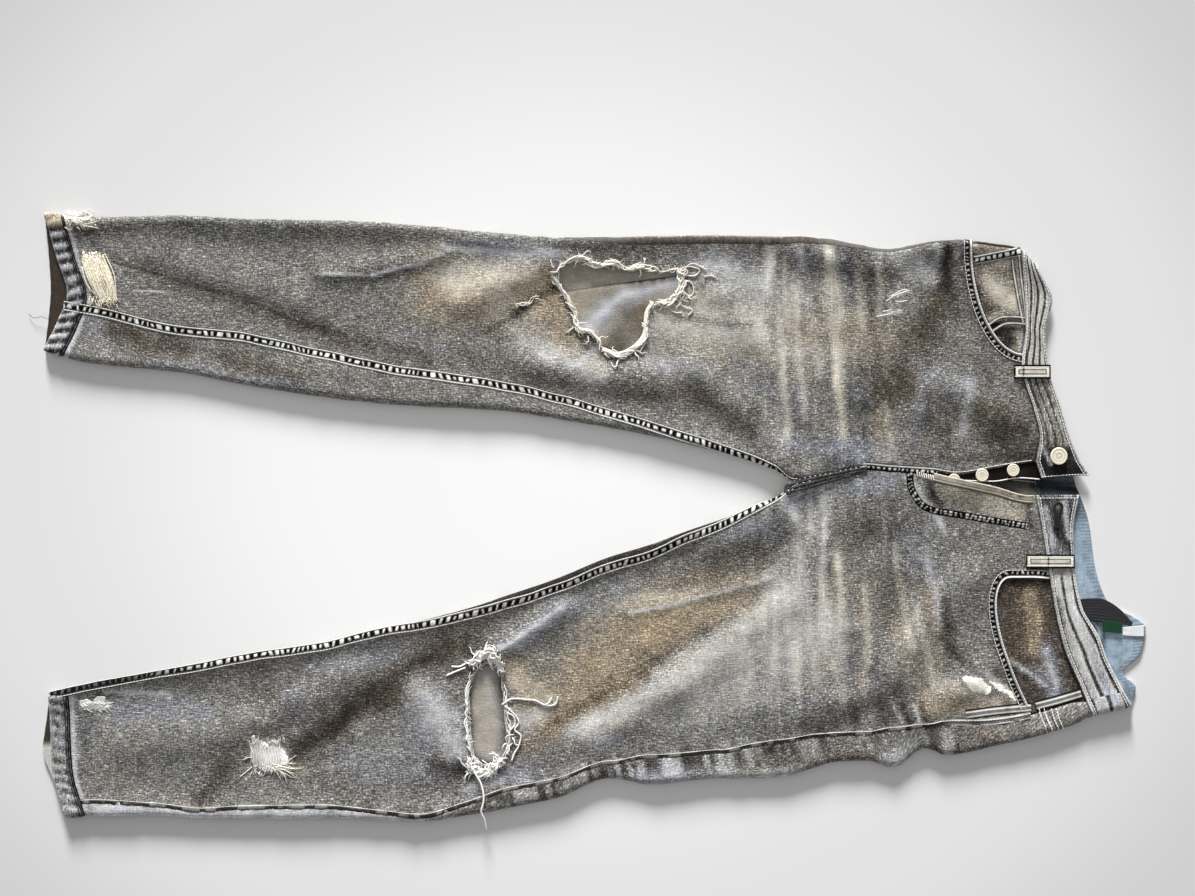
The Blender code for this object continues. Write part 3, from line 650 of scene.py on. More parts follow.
def brushed(x, y, strokes, seed, base="grey"):
    """The wash at each point, with the painted shade and highlight that some stroke tables carry: the base tone, then
    each stroke's tone laid over it by a bell across the stroke. The strokes' edges wander with random hills, and so
    does their strength."""
    colour = np.broadcast_to(TONES[base], (*x.shape, 3))
    wander_x = x + 5 * hills(x, y, 26, seed) + 2 * hills(x, y, 9, seed + 1)
    wander_y = y + 5 * hills(x, y, 26, seed + 2) + 2 * hills(x, y, 9, seed + 3)
    blotch = 1 + 0.22 * hills(x, y, 8, seed + 4) + 0.12 * hills(x, y, 20, seed + 5)
    for tone, rows in strokes:
        for x0, y0, x1, y1, width, strength in rows:
            sharp = min(width / 8, 1.0)
            px, py = x + (wander_x - x) * sharp, y + (wander_y - y) * sharp
            cover = np.clip(strength * blotch * bell(from_line(px, py, x0, y0, x1, y1), width), 0, 1)
            colour = toned(colour, TONES[tone], cover)
    lap = ease((x - 130) / 50) * ease((345 - x) / 50)
    streaks = 0.24 * hills(x, 0.10 * y, 5, seed + 8) + 0.16 * hills(x, 0.14 * y, 10, seed + 9)
    mottle = 1 + 0.08 * hills(x, y, 15, seed + 6) + 0.07 * hills(x, y, 5.5, seed + 7) + lap * streaks
    mottle = mottle + (1 - lap) * 0.07 * hills(0.14 * x, y, 5, seed + 10)
    colour = colour * mottle[..., None]
    light = np.clip(colour.mean(axis=-1, keepdims=True), 0.01, 1)
    return colour * (light / MID_WASH) ** WASH_DEPTH


# ---------------------------------------------------------------------------------------------------
# The front and back panels of each leg. Every panel is one cut of denim between its two long seams, from
# the hem's seam to the waist's. The wear is given as strokes: thighs and knees pale and sandy, whiskers across
# the lap. Among them, the darker brown in the hollows and along the creases' troughs is painted shade, and the
# pale lines on the creases' tops are partly painted highlight.

# Painted shade among the wear: the dark, brown and mauve strokes along the creases' troughs, beside the pocket mouth
# and down the hip's folds; the pale strokes along the creases' tops are partly painted highlight.
RIGHT_WASH_AND_SHADE = (
    ("brown", (
        (-489, 186, -409, 166, 12, 0.85), (-369, 161, -299, 131, 13, 0.85), (-284, 186, -174, 150, 13, 0.5),
        (-164, 160, -34, 131, 12, 0.4), (6, 141, 106, 116, 13, 0.6), (106, 116, 160, 90, 12, 0.5),
        (352, 236, 330, 180, 16, 0.9), (330, 180, 296, 118, 18, 0.8), (250, 155, 298, 133, 15, 0.7),
        (384, 112, 430, 72, 26, 0.8), (340, 100, 358, 70, 13, 0.5), (300, 255, 260, 220, 14, 0.4),
        (-300, 285, -180, 280, 8, 0.3), (-540, 285, -300, 298, 4, 0.4), (-60, 272, 60, 277, 6, 0.4),
        (187, 250, 199, 92, 2.6, 0.4), (212, 250, 218, 110, 3.4, 0.45), (229, 262, 233, 150, 3.4, 0.45),
        (252, 262, 264, 130, 6, 0.5), (276, 240, 290, 110, 6, 0.4), (168, 250, 172, 120, 5, 0.3),
    )),
    ("slate", (
        (210, 262, 216, 200, 10, 0.7), (250, 262, 262, 215, 12, 0.6), (262, 120, 275, 70, 12, 0.5),
        (-420, 275, -300, 282, 20, 0.3), (-120, 268, 40, 268, 7, 0.35), (150, 262, 160, 180, 8, 0.35),
    )),
    ("tan", (
        (-150, 228, -60, 222, 32, 0.75), (-60, 236, -30, 190, 20, 0.6), (60, 205, 166, 178, 28, 0.85),
        (176, 200, 245, 180, 26, 0.55), (-40, 175, 0, 150, 14, 0.4), (280, 95, 290, 60, 10, 0.5),
        (230, 215, 300, 170, 20, 0.3),
    )),
    ("sand", (
        (-135, 234, -85, 226, 18, 0.45), (60, 214, 110, 204, 14, 0.5), (176, 266, 181, 186, 4.5, 0.8),
        (181, 186, 197, 76, 4.5, 0.65), (201, 226, 208, 96, 3.2, 0.6), (236, 276, 241, 150, 5, 0.75),
        (241, 150, 250, 76, 4, 0.75), (220, 210, 226, 140, 4, 0.55), (290, 110, 298, 60, 4, 0.45),
        (190, 258, 192, 200, 2.6, 0.5), (264, 250, 268, 190, 3, 0.35), (284, 250, 286, 200, 3, 0.35),
    )),
    ("blue", (
        (-134, 270, -24, 256, 8, 0.65), (106, 254, 176, 216, 20, 0.45), (319, 155, 363, 123, 12, 0.2),
        (-194, 181, -154, 166, 11, 0.2), (-509, 204, -494, 178, 9, 0.35), (240, 70, 300, 62, 9, 0.5),
        (150, 150, 200, 110, 14, 0.35), (330, 130, 322, 84, 8, 0.35), (356, 140, 400, 125, 8, 0.2),
        (200, 76, 262, 60, 10, 0.6), (-440, 150, -300, 128, 8, 0.35),
    )),
    ("pale", (
        (-150, 268, -64, 262, 3, 0.6), (-64, 262, -4, 258, 2.5, 0.6), (-54, 161, 6, 142, 9, 0.45),
        (46, 156, 106, 141, 9, 0.35), (-271, 241, -220, 239, 2.2, 0.65), (-220, 239, -200, 245, 2.2, 0.65),
        (-200, 245, -172, 251, 2.2, 0.75), (-172, 251, -151, 262, 2.2, 0.6), (205, 266, 210, 250, 4, 0.5),
        (-20, 150, 0, 166, 4, 0.4), (298, 268, 341, 242, 12, 0.45), (176, 262, 178, 232, 6, 0.5),
        (110, 250, 170, 236, 9, 0.5), (236, 272, 238, 244, 5, 0.15), (372, 130, 366, 84, 7, 0.4),
        (-460, 225, -420, 223, 0.9, 0.8), (356, 272, 364, 262, 4, 0.5), (344, 268, 352, 240, 4, 0.5),
    )),
    ("ash", (
        (56, 196, 166, 186, 24, 0.8), (120, 240, 240, 210, 24, 0.45), (-150, 244, -70, 246, 14, 0.4),
        (-70, 176, 10, 150, 12, 0.5), (170, 170, 250, 160, 18, 0.35), (-100, 210, -70, 190, 12, 0.35),
    )),
    ("mauve", (
        (-479, 253, -422, 237, 3, 0.6), (-422, 237, -345, 215, 4, 0.6), (-345, 215, -294, 193, 4.5, 0.6),
        (-294, 193, -248, 180, 5, 0.6), (-422, 228, -345, 205, 8, 0.3),
    )),
    ("dark", (
        (356, 272, 352, 232, 7, 0.9), (372, 270, 374, 236, 3, 0.7), (-262, 232, -200, 238, 4, 0.35),
        (-200, 238, -160, 248, 5, 0.3), (-109, 186, -74, 206, 6, 0.6), (-74, 206, -44, 226, 6, 0.65),
        (-44, 226, -30, 236, 5, 0.6), (80, 197, 156, 190, 3.5, 0.4), (357, 266, 353, 236, 6, 0.85),
        (353, 236, 362, 200, 5, 0.5), (-284, 190, -250, 184, 3, 0.5), (-234, 177, -170, 160, 4, 0.3),
        (240, 55, 300, 52, 3, 0.3), (400, 75, 440, 55, 10, 0.5), (-14, 183, -8, 168, 3, 0.4),
        (330, 56, 440, 60, 4, 0.4),
    )),
)
# Painted shade among the wear: the broad brown and the dark strokes along the thigh's long trough and beside the
# wrinkles; the ash and pale strokes on the ridge below it and along the small creases are partly painted highlight.
LEFT_WASH_AND_SHADE = (
    ("blue", (
        (-494, -182, -394, -198, 16, 0.5), (-306, -182, -277, -214, 14, 0.5), (-240, -240, -130, -262, 18, 0.4),
        (-270, -150, -200, -140, 12, 0.4), (-94, -134, -34, -96, 9, 0.75), (-34, -96, 40, -70, 12, 0.4),
        (180, 20, 262, 36, 14, 0.6), (-110, -262, -60, -250, 9, 0.55), (-60, -250, 20, -220, 10, 0.5),
        (215, -80, 250, -150, 18, 0.3), (300, -20, 345, -70, 14, 0.4), (-174, -212, -150, -240, 18, 0.5),
        (-20, -215, 60, -170, 10, 0.55), (110, 0, 180, -20, 12, 0.45), (265, 26, 300, 38, 10, 0.6),
    )),
    ("slate", (
        (-509, -190, -507, -235, 7, 0.6), (-430, -250, -380, -262, 14, 0.35), (250, -120, 300, -190, 24, 0.35),
        (160, -150, 230, -200, 26, 0.4), (60, -210, 160, -205, 18, 0.4), (310, 0, 330, -40, 9, 0.4),
    )),
    ("brown", (
        (-338, -172, -300, -192, 14, 0.5), (-392, -279, -367, -249, 11, 0.65), (-367, -249, -330, -220, 12, 0.35),
        (-306, -241, -266, -211, 14, 0.95), (-266, -211, -210, -176, 17, 0.95), (-210, -176, -150, -134, 16, 0.95),
        (-150, -134, -118, -122, 13, 0.6), (-156, -244, -122, -262, 13, 0.75), (-180, -268, -140, -268, 10, 0.5),
        (-60, -250, -10, -232, 9, 0.5), (100, -60, 170, -44, 13, 0.6), (170, -44, 205, -20, 12, 0.5),
        (240, -20, 300, -12, 14, 0.6), (345, -90, 356, -140, 12, 0.7), (250, -90, 320, -60, 16, 0.4),
        (210, -215, 260, -205, 8, 0.5), (-506, -177, -478, -177, 4, 0.6), (200, -100, 208, -180, 8, 0.3),
        (-260, -300, -130, -300, 6, 0.4), (286, -60, 292, -160, 8, 0.4), (-70, -226, 10, -180, 12, 0.75),
        (10, -180, 62, -145, 14, 0.8), (62, -145, 110, -116, 14, 0.75), (110, -116, 172, -76, 12, 0.65),
        (230, -190, 330, -200, 12, 0.35),
    )),
    ("stone", ((348, 24, 420, 6, 11, 0.9), (345, 30, 430, 20, 6, 0.6))),
    ("tan", (
        (-86, -150, -40, -200, 17, 0.7), (-60, -205, 20, -160, 26, 0.7), (0, -150, 80, -100, 32, 0.8),
        (60, -110, 160, -80, 22, 0.8), (240, -60, 246, -160, 12, 0.22), (262, -60, 270, -170, 9, 0.2),
        (300, -100, 330, -180, 12, 0.3), (215, -140, 235, -90, 16, 0.2), (330, -190, 420, -195, 14, 0.5),
        (-560, -176, -536, -210, 12, 0.4), (330, -70, 345, -150, 8, 0.3),
    )),
    ("sand", (
        (-84, -160, -50, -180, 12, 0.5), (226, -60, 236, -150, 4, 0.6), (242, -40, 252, -130, 4, 0.5),
        (268, -70, 274, -150, 3.5, 0.45), (300, -30, 318, -130, 4, 0.45), (322, -90, 340, -170, 4, 0.5),
        (348, -170, 400, -186, 5, 0.5), (206, -120, 215, -160, 10, 0.4), (20, -90, 100, -76, 8, 0.4),
    )),
    ("pale", (
        (-170, -180, -136, -232, 15, 0.6), (-146, -196, -132, -200, 7, 0.35), (-72, -206, -50, -196, 9, 0.5),
        (-94, -132, -34, -94, 3.5, 0.7), (35, -97, 81, -88, 1.8, 0.7), (81, -88, 176, -62, 1.8, 0.6),
        (-128, -270, -96, -262, 5, 0.6), (-521, -178, -518, -280, 4, 0.7), (228, 32, 232, -20, 4, 0.5),
        (232, -20, 226, -60, 4, 0.4), (313, 40, 350, -16, 3.5, 0.6), (330, -30, 345, -110, 4, 0.4),
        (-424, -178, -484, -174, 2.5, 0.5), (186, 10, 226, -20, 5, 0.45), (299, -188, 311, -211, 1.8, 0.6),
        (318, -188, 325, -210, 1.8, 0.6), (350, -214, 355, -238, 5, 0.5),
    )),
    ("ash", (
        (-10, -214, 81, -168, 12, 0.9), (81, -160, 186, -88, 20, 0.95), (150, -140, 230, -110, 26, 0.9),
        (110, -190, 200, -160, 22, 0.55), (196, -70, 222, 0, 18, 0.55), (60, -200, 110, -190, 16, 0.4),
        (-94, -190, -60, -215, 12, 0.4), (230, -140, 330, -120, 24, 0.1),
    )),
    ("dark", (
        (-300, -240, -262, -208, 6, 0.55), (-262, -208, -220, -182, 7, 0.55), (-34, -208, 10, -178, 7, 0.35),
        (10, -178, 62, -143, 8, 0.4), (62, -143, 110, -114, 8, 0.35), (110, -114, 167, -76, 8, 0.3),
        (-60, -222, -34, -208, 6, 0.3), (352, -84, 356, -130, 6, 0.45), (356, -130, 392, -178, 5, 0.5),
        (-90, -136, -70, -140, 4, 0.4), (258, -196, 262, -212, 4, 0.7), (290, -195, 296, -212, 4, 0.6),
        (334, 34, 342, 14, 5, 0.85), (430, 22, 434, -10, 3.5, 0.8), (-128, -118, -120, -150, 3, 0.3),
        (-136, -250, -124, -252, 5, 0.5), (333, -212, 345, -238, 4, 0.9), (366, -211, 363, -238, 4, 0.9),
        (306, -190, 318, -212, 2.8, 0.8), (326, -186, 331, -210, 2.8, 0.7), (-296, -232, -240, -192, 7, 0.5),
        (-216, -176, -160, -138, 8, 0.45), (-396, -278, -372, -252, 6, 0.4), (-150, -250, -126, -262, 7, 0.45),
        (-126, -136, -118, -150, 5, 0.4),
    )),
)
# The strip of the left leg's back that shows beyond the outer seam is paler and bluer than the front.
LEFT_EDGE_WASH = (
    ("ash", ((-530, -294, -180, -302, 12, 0.95), (120, -262, 200, -262, 10, 0.5))),
    ("pale", (
        (-530, -294, -180, -302, 8, 0.95), (-180, -302, -80, -288, 3, 0.5), (20, -262, 200, -262, 7, 0.6),
        (290, -248, 312, -246, 6, 0.6),
    )),
    ("blue", ((-530, -290, -140, -298, 6, 0.3), (40, -262, 130, -262, 12, 0.6), (285, -240, 330, -236, 8, 0.5))),
    ("brown", (
        (-130, -292, -20, -264, 9, 0.75), (140, -248, 190, -246, 9, 0.6), (205, -236, 275, -232, 14, 0.7),
        (340, -222, 420, -216, 14, 0.45),
    )),
)
FRONT_STEP, BACK_STEP = 2.7, 4.4  # of the panels' grids
LEG_LENGTH, BELOW_YOKE = 960.0, 940.0  # from the hem's seam to the waist's, and to the yoke's
HEM_FROM, YOKE_STATION = HEM_DEPTH + SEAM_GAP, 27 / 28
BOW_STATION, YOKE_DIP = 0.75, 32.0
ROUNDS = 5  # until x and w agree


def station_x(half, w, s):
    """The x at place w of the station s, from 0 at the hem's seam to 1 at the waist seam. On the back the
    stations bow towards the knee at the centre, so that the yoke's seam is one of them."""
    hem = lined_up(half, "hem", "", w) + HEM_FROM
    waist = lined_up(half, "waist", "", w)
    bow = np.where(on_top(w), 0.0, ease(share_of(w))) * (YOKE_DIP / (waist - hem))
    below = ease((s - BOW_STATION) / (YOKE_STATION - BOW_STATION))
    above = (1 - s) / (1 - YOKE_STATION)
    return hem + (waist - hem) * (s - bow * np.where(s < YOKE_STATION, below, above))


def panel_places(half, stations, step, side):
    """The places of a panel's grid, even in length of cloth between its two seams. Each row's x depends on
    its place and the other way round, so both are worked out together over a few rounds."""
    middle = 0.5 if side == "front" else 1.5
    x = station_x(half, np.full((len(stations), 1), middle), stations[:, None])
    columns = int(np.ceil(once_over(half, x).max() / step)) + 1
    t = np.linspace(0, 1, columns)[None, :]
    for _ in range(ROUNDS):
        aside = SEAM_GAP / 2 if side == "front" else -SEAM_GAP / 2
        out = seam_line(half, "outseam_in", x) + aside
        into = seam_line(half, "inseam_in", x) - aside
        end = into if side == "front" else 2 * once_over(half, x) + out
        length = (out + (into - out) * t) if side == "front" else (into + (end - into) * t)
        w = around(half, x, length)
        w = np.where((w < 0) & (side == "back"), w + 2, w)
        x = station_x(half, w, stations[:, None])
    return x, w, length


def weave_of(half, x, length):
    """The weave's own coordinates: along the leg, and round the tube so that no yarn bends at a fold."""
    sign = -1.0 if half is RIGHT else 1.0
    return np.stack([x, column(half, "outer", x) + sign * length], axis=-1)


def inside_by(x, y, outline):
    """How far inside a closed outline each point lies, less than zero outside, and the outline's nearest
    point. Inside is where a ray to the right crosses the outline an odd number of times."""
    a = np.array(outline, float)
    b = np.roll(a, -1, axis=0)
    px, py = x[..., None], y[..., None]
    run, climb = b[:, 0] - a[:, 0], b[:, 1] - a[:, 1]
    along = np.clip(((px - a[:, 0]) * run + (py - a[:, 1]) * climb) / (run**2 + climb**2 + 1e-9), 0, 1)
    near_x, near_y = a[:, 0] + along * run, a[:, 1] + along * climb
    off = np.hypot(px - near_x, py - near_y)
    best = off.argmin(-1)[..., None]
    crosses = (a[:, 1] > py) != (b[:, 1] > py)
    at = a[:, 0] + (py - a[:, 1]) * run / np.where(np.abs(climb) < 1e-9, 1e-9, climb)
    inside = (crosses & (px < at)).sum(-1) % 2 == 1

    def pick(values):
        """The value that belongs to the nearest stretch of the outline."""
        return np.take_along_axis(values, best, -1)[..., 0]

    return np.where(inside, 1, -1) * pick(off), pick(near_x), pick(near_y)


FAR, CUT_MARGIN, PULLED_IN = 99.0, 8, 6


def cut_out(half, x, w, outline, keep_inside=False):
    """Drop the grid's faces inside the outline, or outside it, and pull the points on the new border onto it."""
    y = cloth(half, x, w)[..., 1]
    depth = np.full(x.shape, -FAR)
    near_x, near_y = x.copy(), y.copy()
    low, high = np.min(outline, axis=0) - CUT_MARGIN, np.max(outline, axis=0) + CUT_MARGIN
    close = (x > low[0]) & (x < high[0]) & (y > low[1]) & (y < high[1]) & on_top(w)
    depth[close], near_x[close], near_y[close] = inside_by(x[close], y[close], outline)
    if keep_inside:
        depth = -depth
    mean = (depth[:-1, :-1] + depth[1:, :-1] + depth[1:, 1:] + depth[:-1, 1:]) / 4
    keep = mean < 0
    kept, dropped = np.zeros(x.shape, bool), np.zeros(x.shape, bool)
    for rows in (slice(None, -1), slice(1, None)):
        for columns in (slice(None, -1), slice(1, None)):
            kept[rows, columns] |= keep
            dropped[rows, columns] |= ~keep
    edge = kept & dropped & (np.abs(depth) < PULLED_IN)
    x = np.where(edge, near_x, x)
    w = np.where(edge, place_at(half, x, np.where(edge, near_y, y)), w)
    return x, w, keep


def rounded(corners, count, wobble, seed):
    """A closed Catmull-Rom curve through the corners, set off from it at random by up to the wobble."""
    p = np.array(corners, float)
    t = np.linspace(0, len(p), count, endpoint=False)
    i, f = np.floor(t).astype(int), (t % 1)[:, None]
    a, b, c, d = (p[(i + k) % len(p)] for k in (-1, 0, 1, 2))
    curve = 0.5 * (2 * b + (c - a) * f + (2 * a - 5 * b + 4 * c - d) * f**2 + (3 * b - a - 3 * c + d) * f**3)
    noise = np.random.default_rng(seed).normal(0, 1, (count, 2))
    noise = (noise + np.roll(noise, 1, 0) + np.roll(noise, -1, 0)) / 3
    return curve + wobble * noise


RIP_RIGHT = rounded(((-40, 240), (-31, 250), (-14, 258), (4, 250), (21, 252), (34, 245), (49, 248), (67, 243),
                     (84, 245), (85, 226), (76, 215), (59, 212), (54, 200), (51, 177), (38, 164), (21, 162),
                     (7, 168), (0, 183), (-14, 186), (-20, 204), (-29, 223)), 150, 1.0, 5)
RIP_LEFT = rounded(((-119, -158), (-105, -147), (-95, -153), (-91, -178), (-88, -211), (-86, -227), (-94, -242),
                    (-108, -248), (-119, -237), (-123, -211), (-124, -176)), 110, 0.7, 6)
MOUTH_CORNER_X, MOUTH_CORNER_Y, MOUTH_LENGTH, MOUTH_WIDTH = 430.0, 275.0, 53.0, 113.0
PAST = 520.0


def right_mouth(y):
    """The x of the right pocket mouth's edge at height y: a quarter ellipse about the mouth's corner."""
    return MOUTH_CORNER_X - MOUTH_LENGTH * np.sqrt(np.clip(1 - ((MOUTH_CORNER_Y - y) / MOUTH_WIDTH) ** 2, 0, 1))


def bezier(start, pull_a, pull_b, end, count):
    """Points along a cubic Bezier curve."""
    t = np.linspace(0, 1, count)[:, None]
    a, b, c, d = (np.array(p, float) for p in (start, pull_a, pull_b, end))
    return (1 - t) ** 3 * a + 3 * t * (1 - t) ** 2 * b + 3 * t * t * (1 - t) * c + t**3 * d


mouth_y = MOUTH_CORNER_Y - MOUTH_WIDTH * np.sin(np.linspace(0, np.pi / 2, 40))
MOUTH_RIGHT = np.stack([right_mouth(mouth_y), mouth_y], axis=1)
MOUTH_LEFT = bezier((416, -62), (396, -62), (394, -110), (434, -190), 40)
HOLE_RIGHT = [(MOUTH_RIGHT[0, 0], 320), *MOUTH_RIGHT, (PAST, MOUTH_RIGHT[-1, 1]), (PAST, 320)]
HOLE_LEFT = [(PAST, -62), *MOUTH_LEFT, (434, -260), (PAST, -260)]


def torn_apart(half, x, w, outlines):
    """Cut several openings out of one grid."""
    kept = True
    for outline in outlines:
        x, w, keep = cut_out(half, x, w, outline)
        kept = kept & keep
    return x, w, kept


def flat_area(points, keep=None):
    """The area of a grid in square metres, from the cross product of each cell's diagonals."""
    one, other = points[1:, 1:] - points[:-1, :-1], points[1:, :-1] - points[:-1, 1:]
    cells = np.linalg.norm(np.cross(one, other), axis=-1) / 2
    return float(cells[keep].sum() if keep is not None else cells.sum()) * MM * MM


# The right's brown patch along the hank's left side is a painted shadow of the hank.
FRONTS = {
    "right": {"wash": RIGHT_WASH_AND_SHADE, "holes": (RIP_RIGHT, HOLE_RIGHT), "seed": 30,
              "patches": (("sand", -505, 248, -488, 222, 8, 0.7), ("brown", -511, 252, -500, 222, 4, 0.9),
                          ("white", -528, 296, -504, 293, 5, 0.7), ("dark", -528, 286, -505, 284, 3, 0.5),
                          ("white", 296, 219, 314, 225, 1.6, 0.6), ("white", 284, 200, 306, 204, 1.4, 0.6))},
    "left": {"wash": LEFT_WASH_AND_SHADE, "holes": (RIP_LEFT, HOLE_LEFT), "seed": 50,
             "patches": (("white", -332, -234, -318, -240, 11, 0.9), ("dark", -346, -232, -344, -244, 3, 0.5),
                         ("dark", -336, -254, -320, -257, 3, 0.6), ("white", -508, -189, -486, -189, 4.5, 0.85),
                         ("sand", -306, -250, -290, -256, 4, 0.6), ("white", 378, -166, 390, -170, 6, 0.9),
                         ("white", 392, -158, 424, -184, 3, 0.85), ("white", 386, -174, 380, -170, 3, 0.6))},
}
fronts, cuts = {}, {}


def cut(name, points, keep=None):
    """Note what a piece was cut to, in metres: the widest row and the longest column of its grid laid flat,
    and its area."""
    kept = 1 if keep is None else keep
    rows = (np.linalg.norm(np.diff(points, axis=1), axis=-1)[:-1] * kept).sum(axis=1).max()
    columns = (np.linalg.norm(np.diff(points, axis=0), axis=-1)[:, :-1] * kept).sum(axis=0).max()
    cuts[name] = (float(rows) * MM, float(columns) * MM, flat_area(points, keep))


def near_edge(colour, x, y, outline, tone, width, strength):
    """The wash with a tone laid over it along an outline."""
    low, high = np.min(outline, axis=0) - 4 * width, np.max(outline, axis=0) + 4 * width
    close = (x > low[0]) & (x < high[0]) & (y > low[1]) & (y < high[1])
    cover = np.zeros(x.shape)
    cover[close] = strength * bell(inside_by(x[close], y[close], outline)[0], width)
    return toned(colour, TONES[tone], cover)


def by_the_hem(colour, half, x, w):
    """The wash with a dark line in the hem's seam and a pale pressed ridge a few millimetres up the leg."""
    up = x - lined_up(half, "hem", "", w) - HEM_FROM
    for tone, at, width, strength in (("dark", 0.0, 2.4, 1.0), ("pale", 4.6, 2.4, 0.95), ("dark", 9.0, 2.2, 0.35)):
        colour = toned(colour, TONES[tone], strength * bell(up - at, width))
    return colour


def pulled(colour, half, x, length):
    """The wash with dark ticks and pale tops where the left outer seam pulls the cloth in, strongest along
    the thigh: rubbed pale tops, and dark ticks that are partly painted shade in the puckers' valleys."""
    beside = length - seam_line(half, "outseam_in", x)
    tick = hills(x + 0.25 * beside, 0.04 * beside, 4.4, 60)
    thigh = 0.2 + 0.8 * ease((x + 130) / 50) * ease((260 - x) / 80)
    shin = 0.45 * bell(x + 225, 45)
    reach = np.where(beside < 0, thigh * bell(beside + 7, 13), (0.5 * thigh + shin) * bell(beside - 3, 6.5))
    colour = toned(colour, TONES["dark"], 0.95 * reach * ease((tick + 0.08) / 0.22))
    return toned(colour, TONES["pale"], 0.4 * reach * ease((-tick - 0.25) / 0.3))


for side, half in HALVES.items():
    made = FRONTS[side]
    stations = np.linspace(0, 1, int(LEG_LENGTH / FRONT_STEP))
    x, w, length = panel_places(half, stations, FRONT_STEP, "front")
    x, w, keep = torn_apart(half, x, w, made["holes"])
    points, _ = surface(half, x, w)
    y = points[..., 1]
    wash = brushed(x, y, made["wash"], made["seed"])
    rip, mouth = made["holes"]
    # Round each rip a dark band, painted shade in the gaps under its bare yarns, then its pale torn edge; round each
    # pocket mouth a broad dark band, painted shade beside the raised rim.
    for outline, *how in ((rip, "dark", 5.0, 0.75), (rip, "white", 1.9, 0.75), (mouth, "dark", 15.0, 0.55)):
        wash = near_edge(wash, x, y, outline, *how)
    for tone, x0, y0, x1, y1, width, strength in made["patches"]:
        wash = toned(wash, TONES[tone], strength * bell(from_line(x, y, x0, y0, x1, y1), width))
    wash = by_the_hem(wash, half, x, w)
    if side == "left":
        wash = pulled(wash, half, x, length)
    colours = {"wash": wash, "lining": to_linear((120, 116, 108))}
    name = "front_panel_" + side
    fronts[side] = grid_piece(name, points, colours, weave_of(half, x, length), (WASHED, UNDERSIDE),
                              flip=half is RIGHT, keep=keep)
    belongs(fronts[side], "grey_denim", "front_" + side)
    cut("front_" + side, cloth(half, x, w), keep)

# The backs run round both folds, so a strip of each shows beside the front. Their hidden side is worn the
# same way: pale across the seat, honeycombs behind the knee, brown hollows between them.

BACK_WASH = {
    "right": (
        ("pale", ((300, 230, 350, 110, 40, 0.35), (-10, 240, 40, 130, 14, 0.45), (-60, 235, -30, 140, 8, 0.4))),
        ("brown", ((20, 235, 60, 130, 10, 0.5), (200, 230, 210, 90, 16, 0.4), (-90, 230, -70, 140, 9, 0.4))),
        ("tan", ((-300, 220, -100, 190, 30, 0.4), (250, 180, 330, 150, 30, 0.4))),
        ("blue", ((-500, 220, -380, 200, 30, 0.4), (100, 220, 160, 110, 24, 0.35))),
    ),
    "left": (
        ("pale", ((320, -60, 360, -170, 40, 0.35), (-90, -130, -60, -240, 14, 0.45), (-30, -110, -10, -210, 8, 0.4))),
        ("brown", ((-50, -120, -40, -230, 10, 0.5), (220, -20, 210, -190, 16, 0.4), (-130, -150, -120, -250, 9, 0.4))),
        ("tan", ((-330, -200, -150, -210, 30, 0.4), (250, -90, 330, -110, 30, 0.4))),
        ("blue", ((-500, -220, -400, -220, 30, 0.4), (90, -60, 150, -200, 24, 0.35))),
    ),
}
# The fold of the right back that shows through its knee rip, and the tones of the cloth's inside there. Among them, the
# white strokes are a painted highlight on that fold, the brown low on the right knee's inside and down the left rip's
# thigh side is painted shade, and the last dark stroke is a painted shadow in the gap by the fly.
INNER_FOLDS = table(
    "x0   y0   x1   y1   width rise",
    (-50, 218, 0, 229, 9, 0.4),
    (-112, -150, -106, -245, 12, 1.5),
)
LINING_WASH_AND_SHADE = (
    ("stone", ((-60, 230, 0, 246, 14, 0.95), (0, 246, 90, 258, 14, 0.95), (10, 164, 52, 200, 17, 0.9))),
    ("sand", ((-50, 236, 0, 244, 12, 0.5), (0, 244, 90, 252, 12, 0.4))),
    ("brown", (
        (0, 248, 90, 256, 6, 0.25), (18, 164, 50, 190, 12, 0.75), (-114, -246, -98, -252, 8, 0.8),
        (-122, -148, -94, -146, 5, 0.5), (-126, -160, -124, -240, 7, 0.85), (-90, -160, -86, -230, 7, 0.85),
    )),
    ("tan", ((-34, 204, -10, 188, 8, 0.5), (-112, -170, -104, -225, 9, 0.5))),
    ("white", ((-4, 190, 34, 223, 5, 0.7), (34, 223, 76, 233, 4, 0.75))),
    ("sand", ((-108, -172, -105, -208, 7, 0.3),)),
    ("pale", ((-558, -190, -540, -300, 14, 0.9),)),
    ("dark", ((-120, -244, -98, -250, 9, 0.9), (350, 40, 446, 30, 16, 0.97))),
)


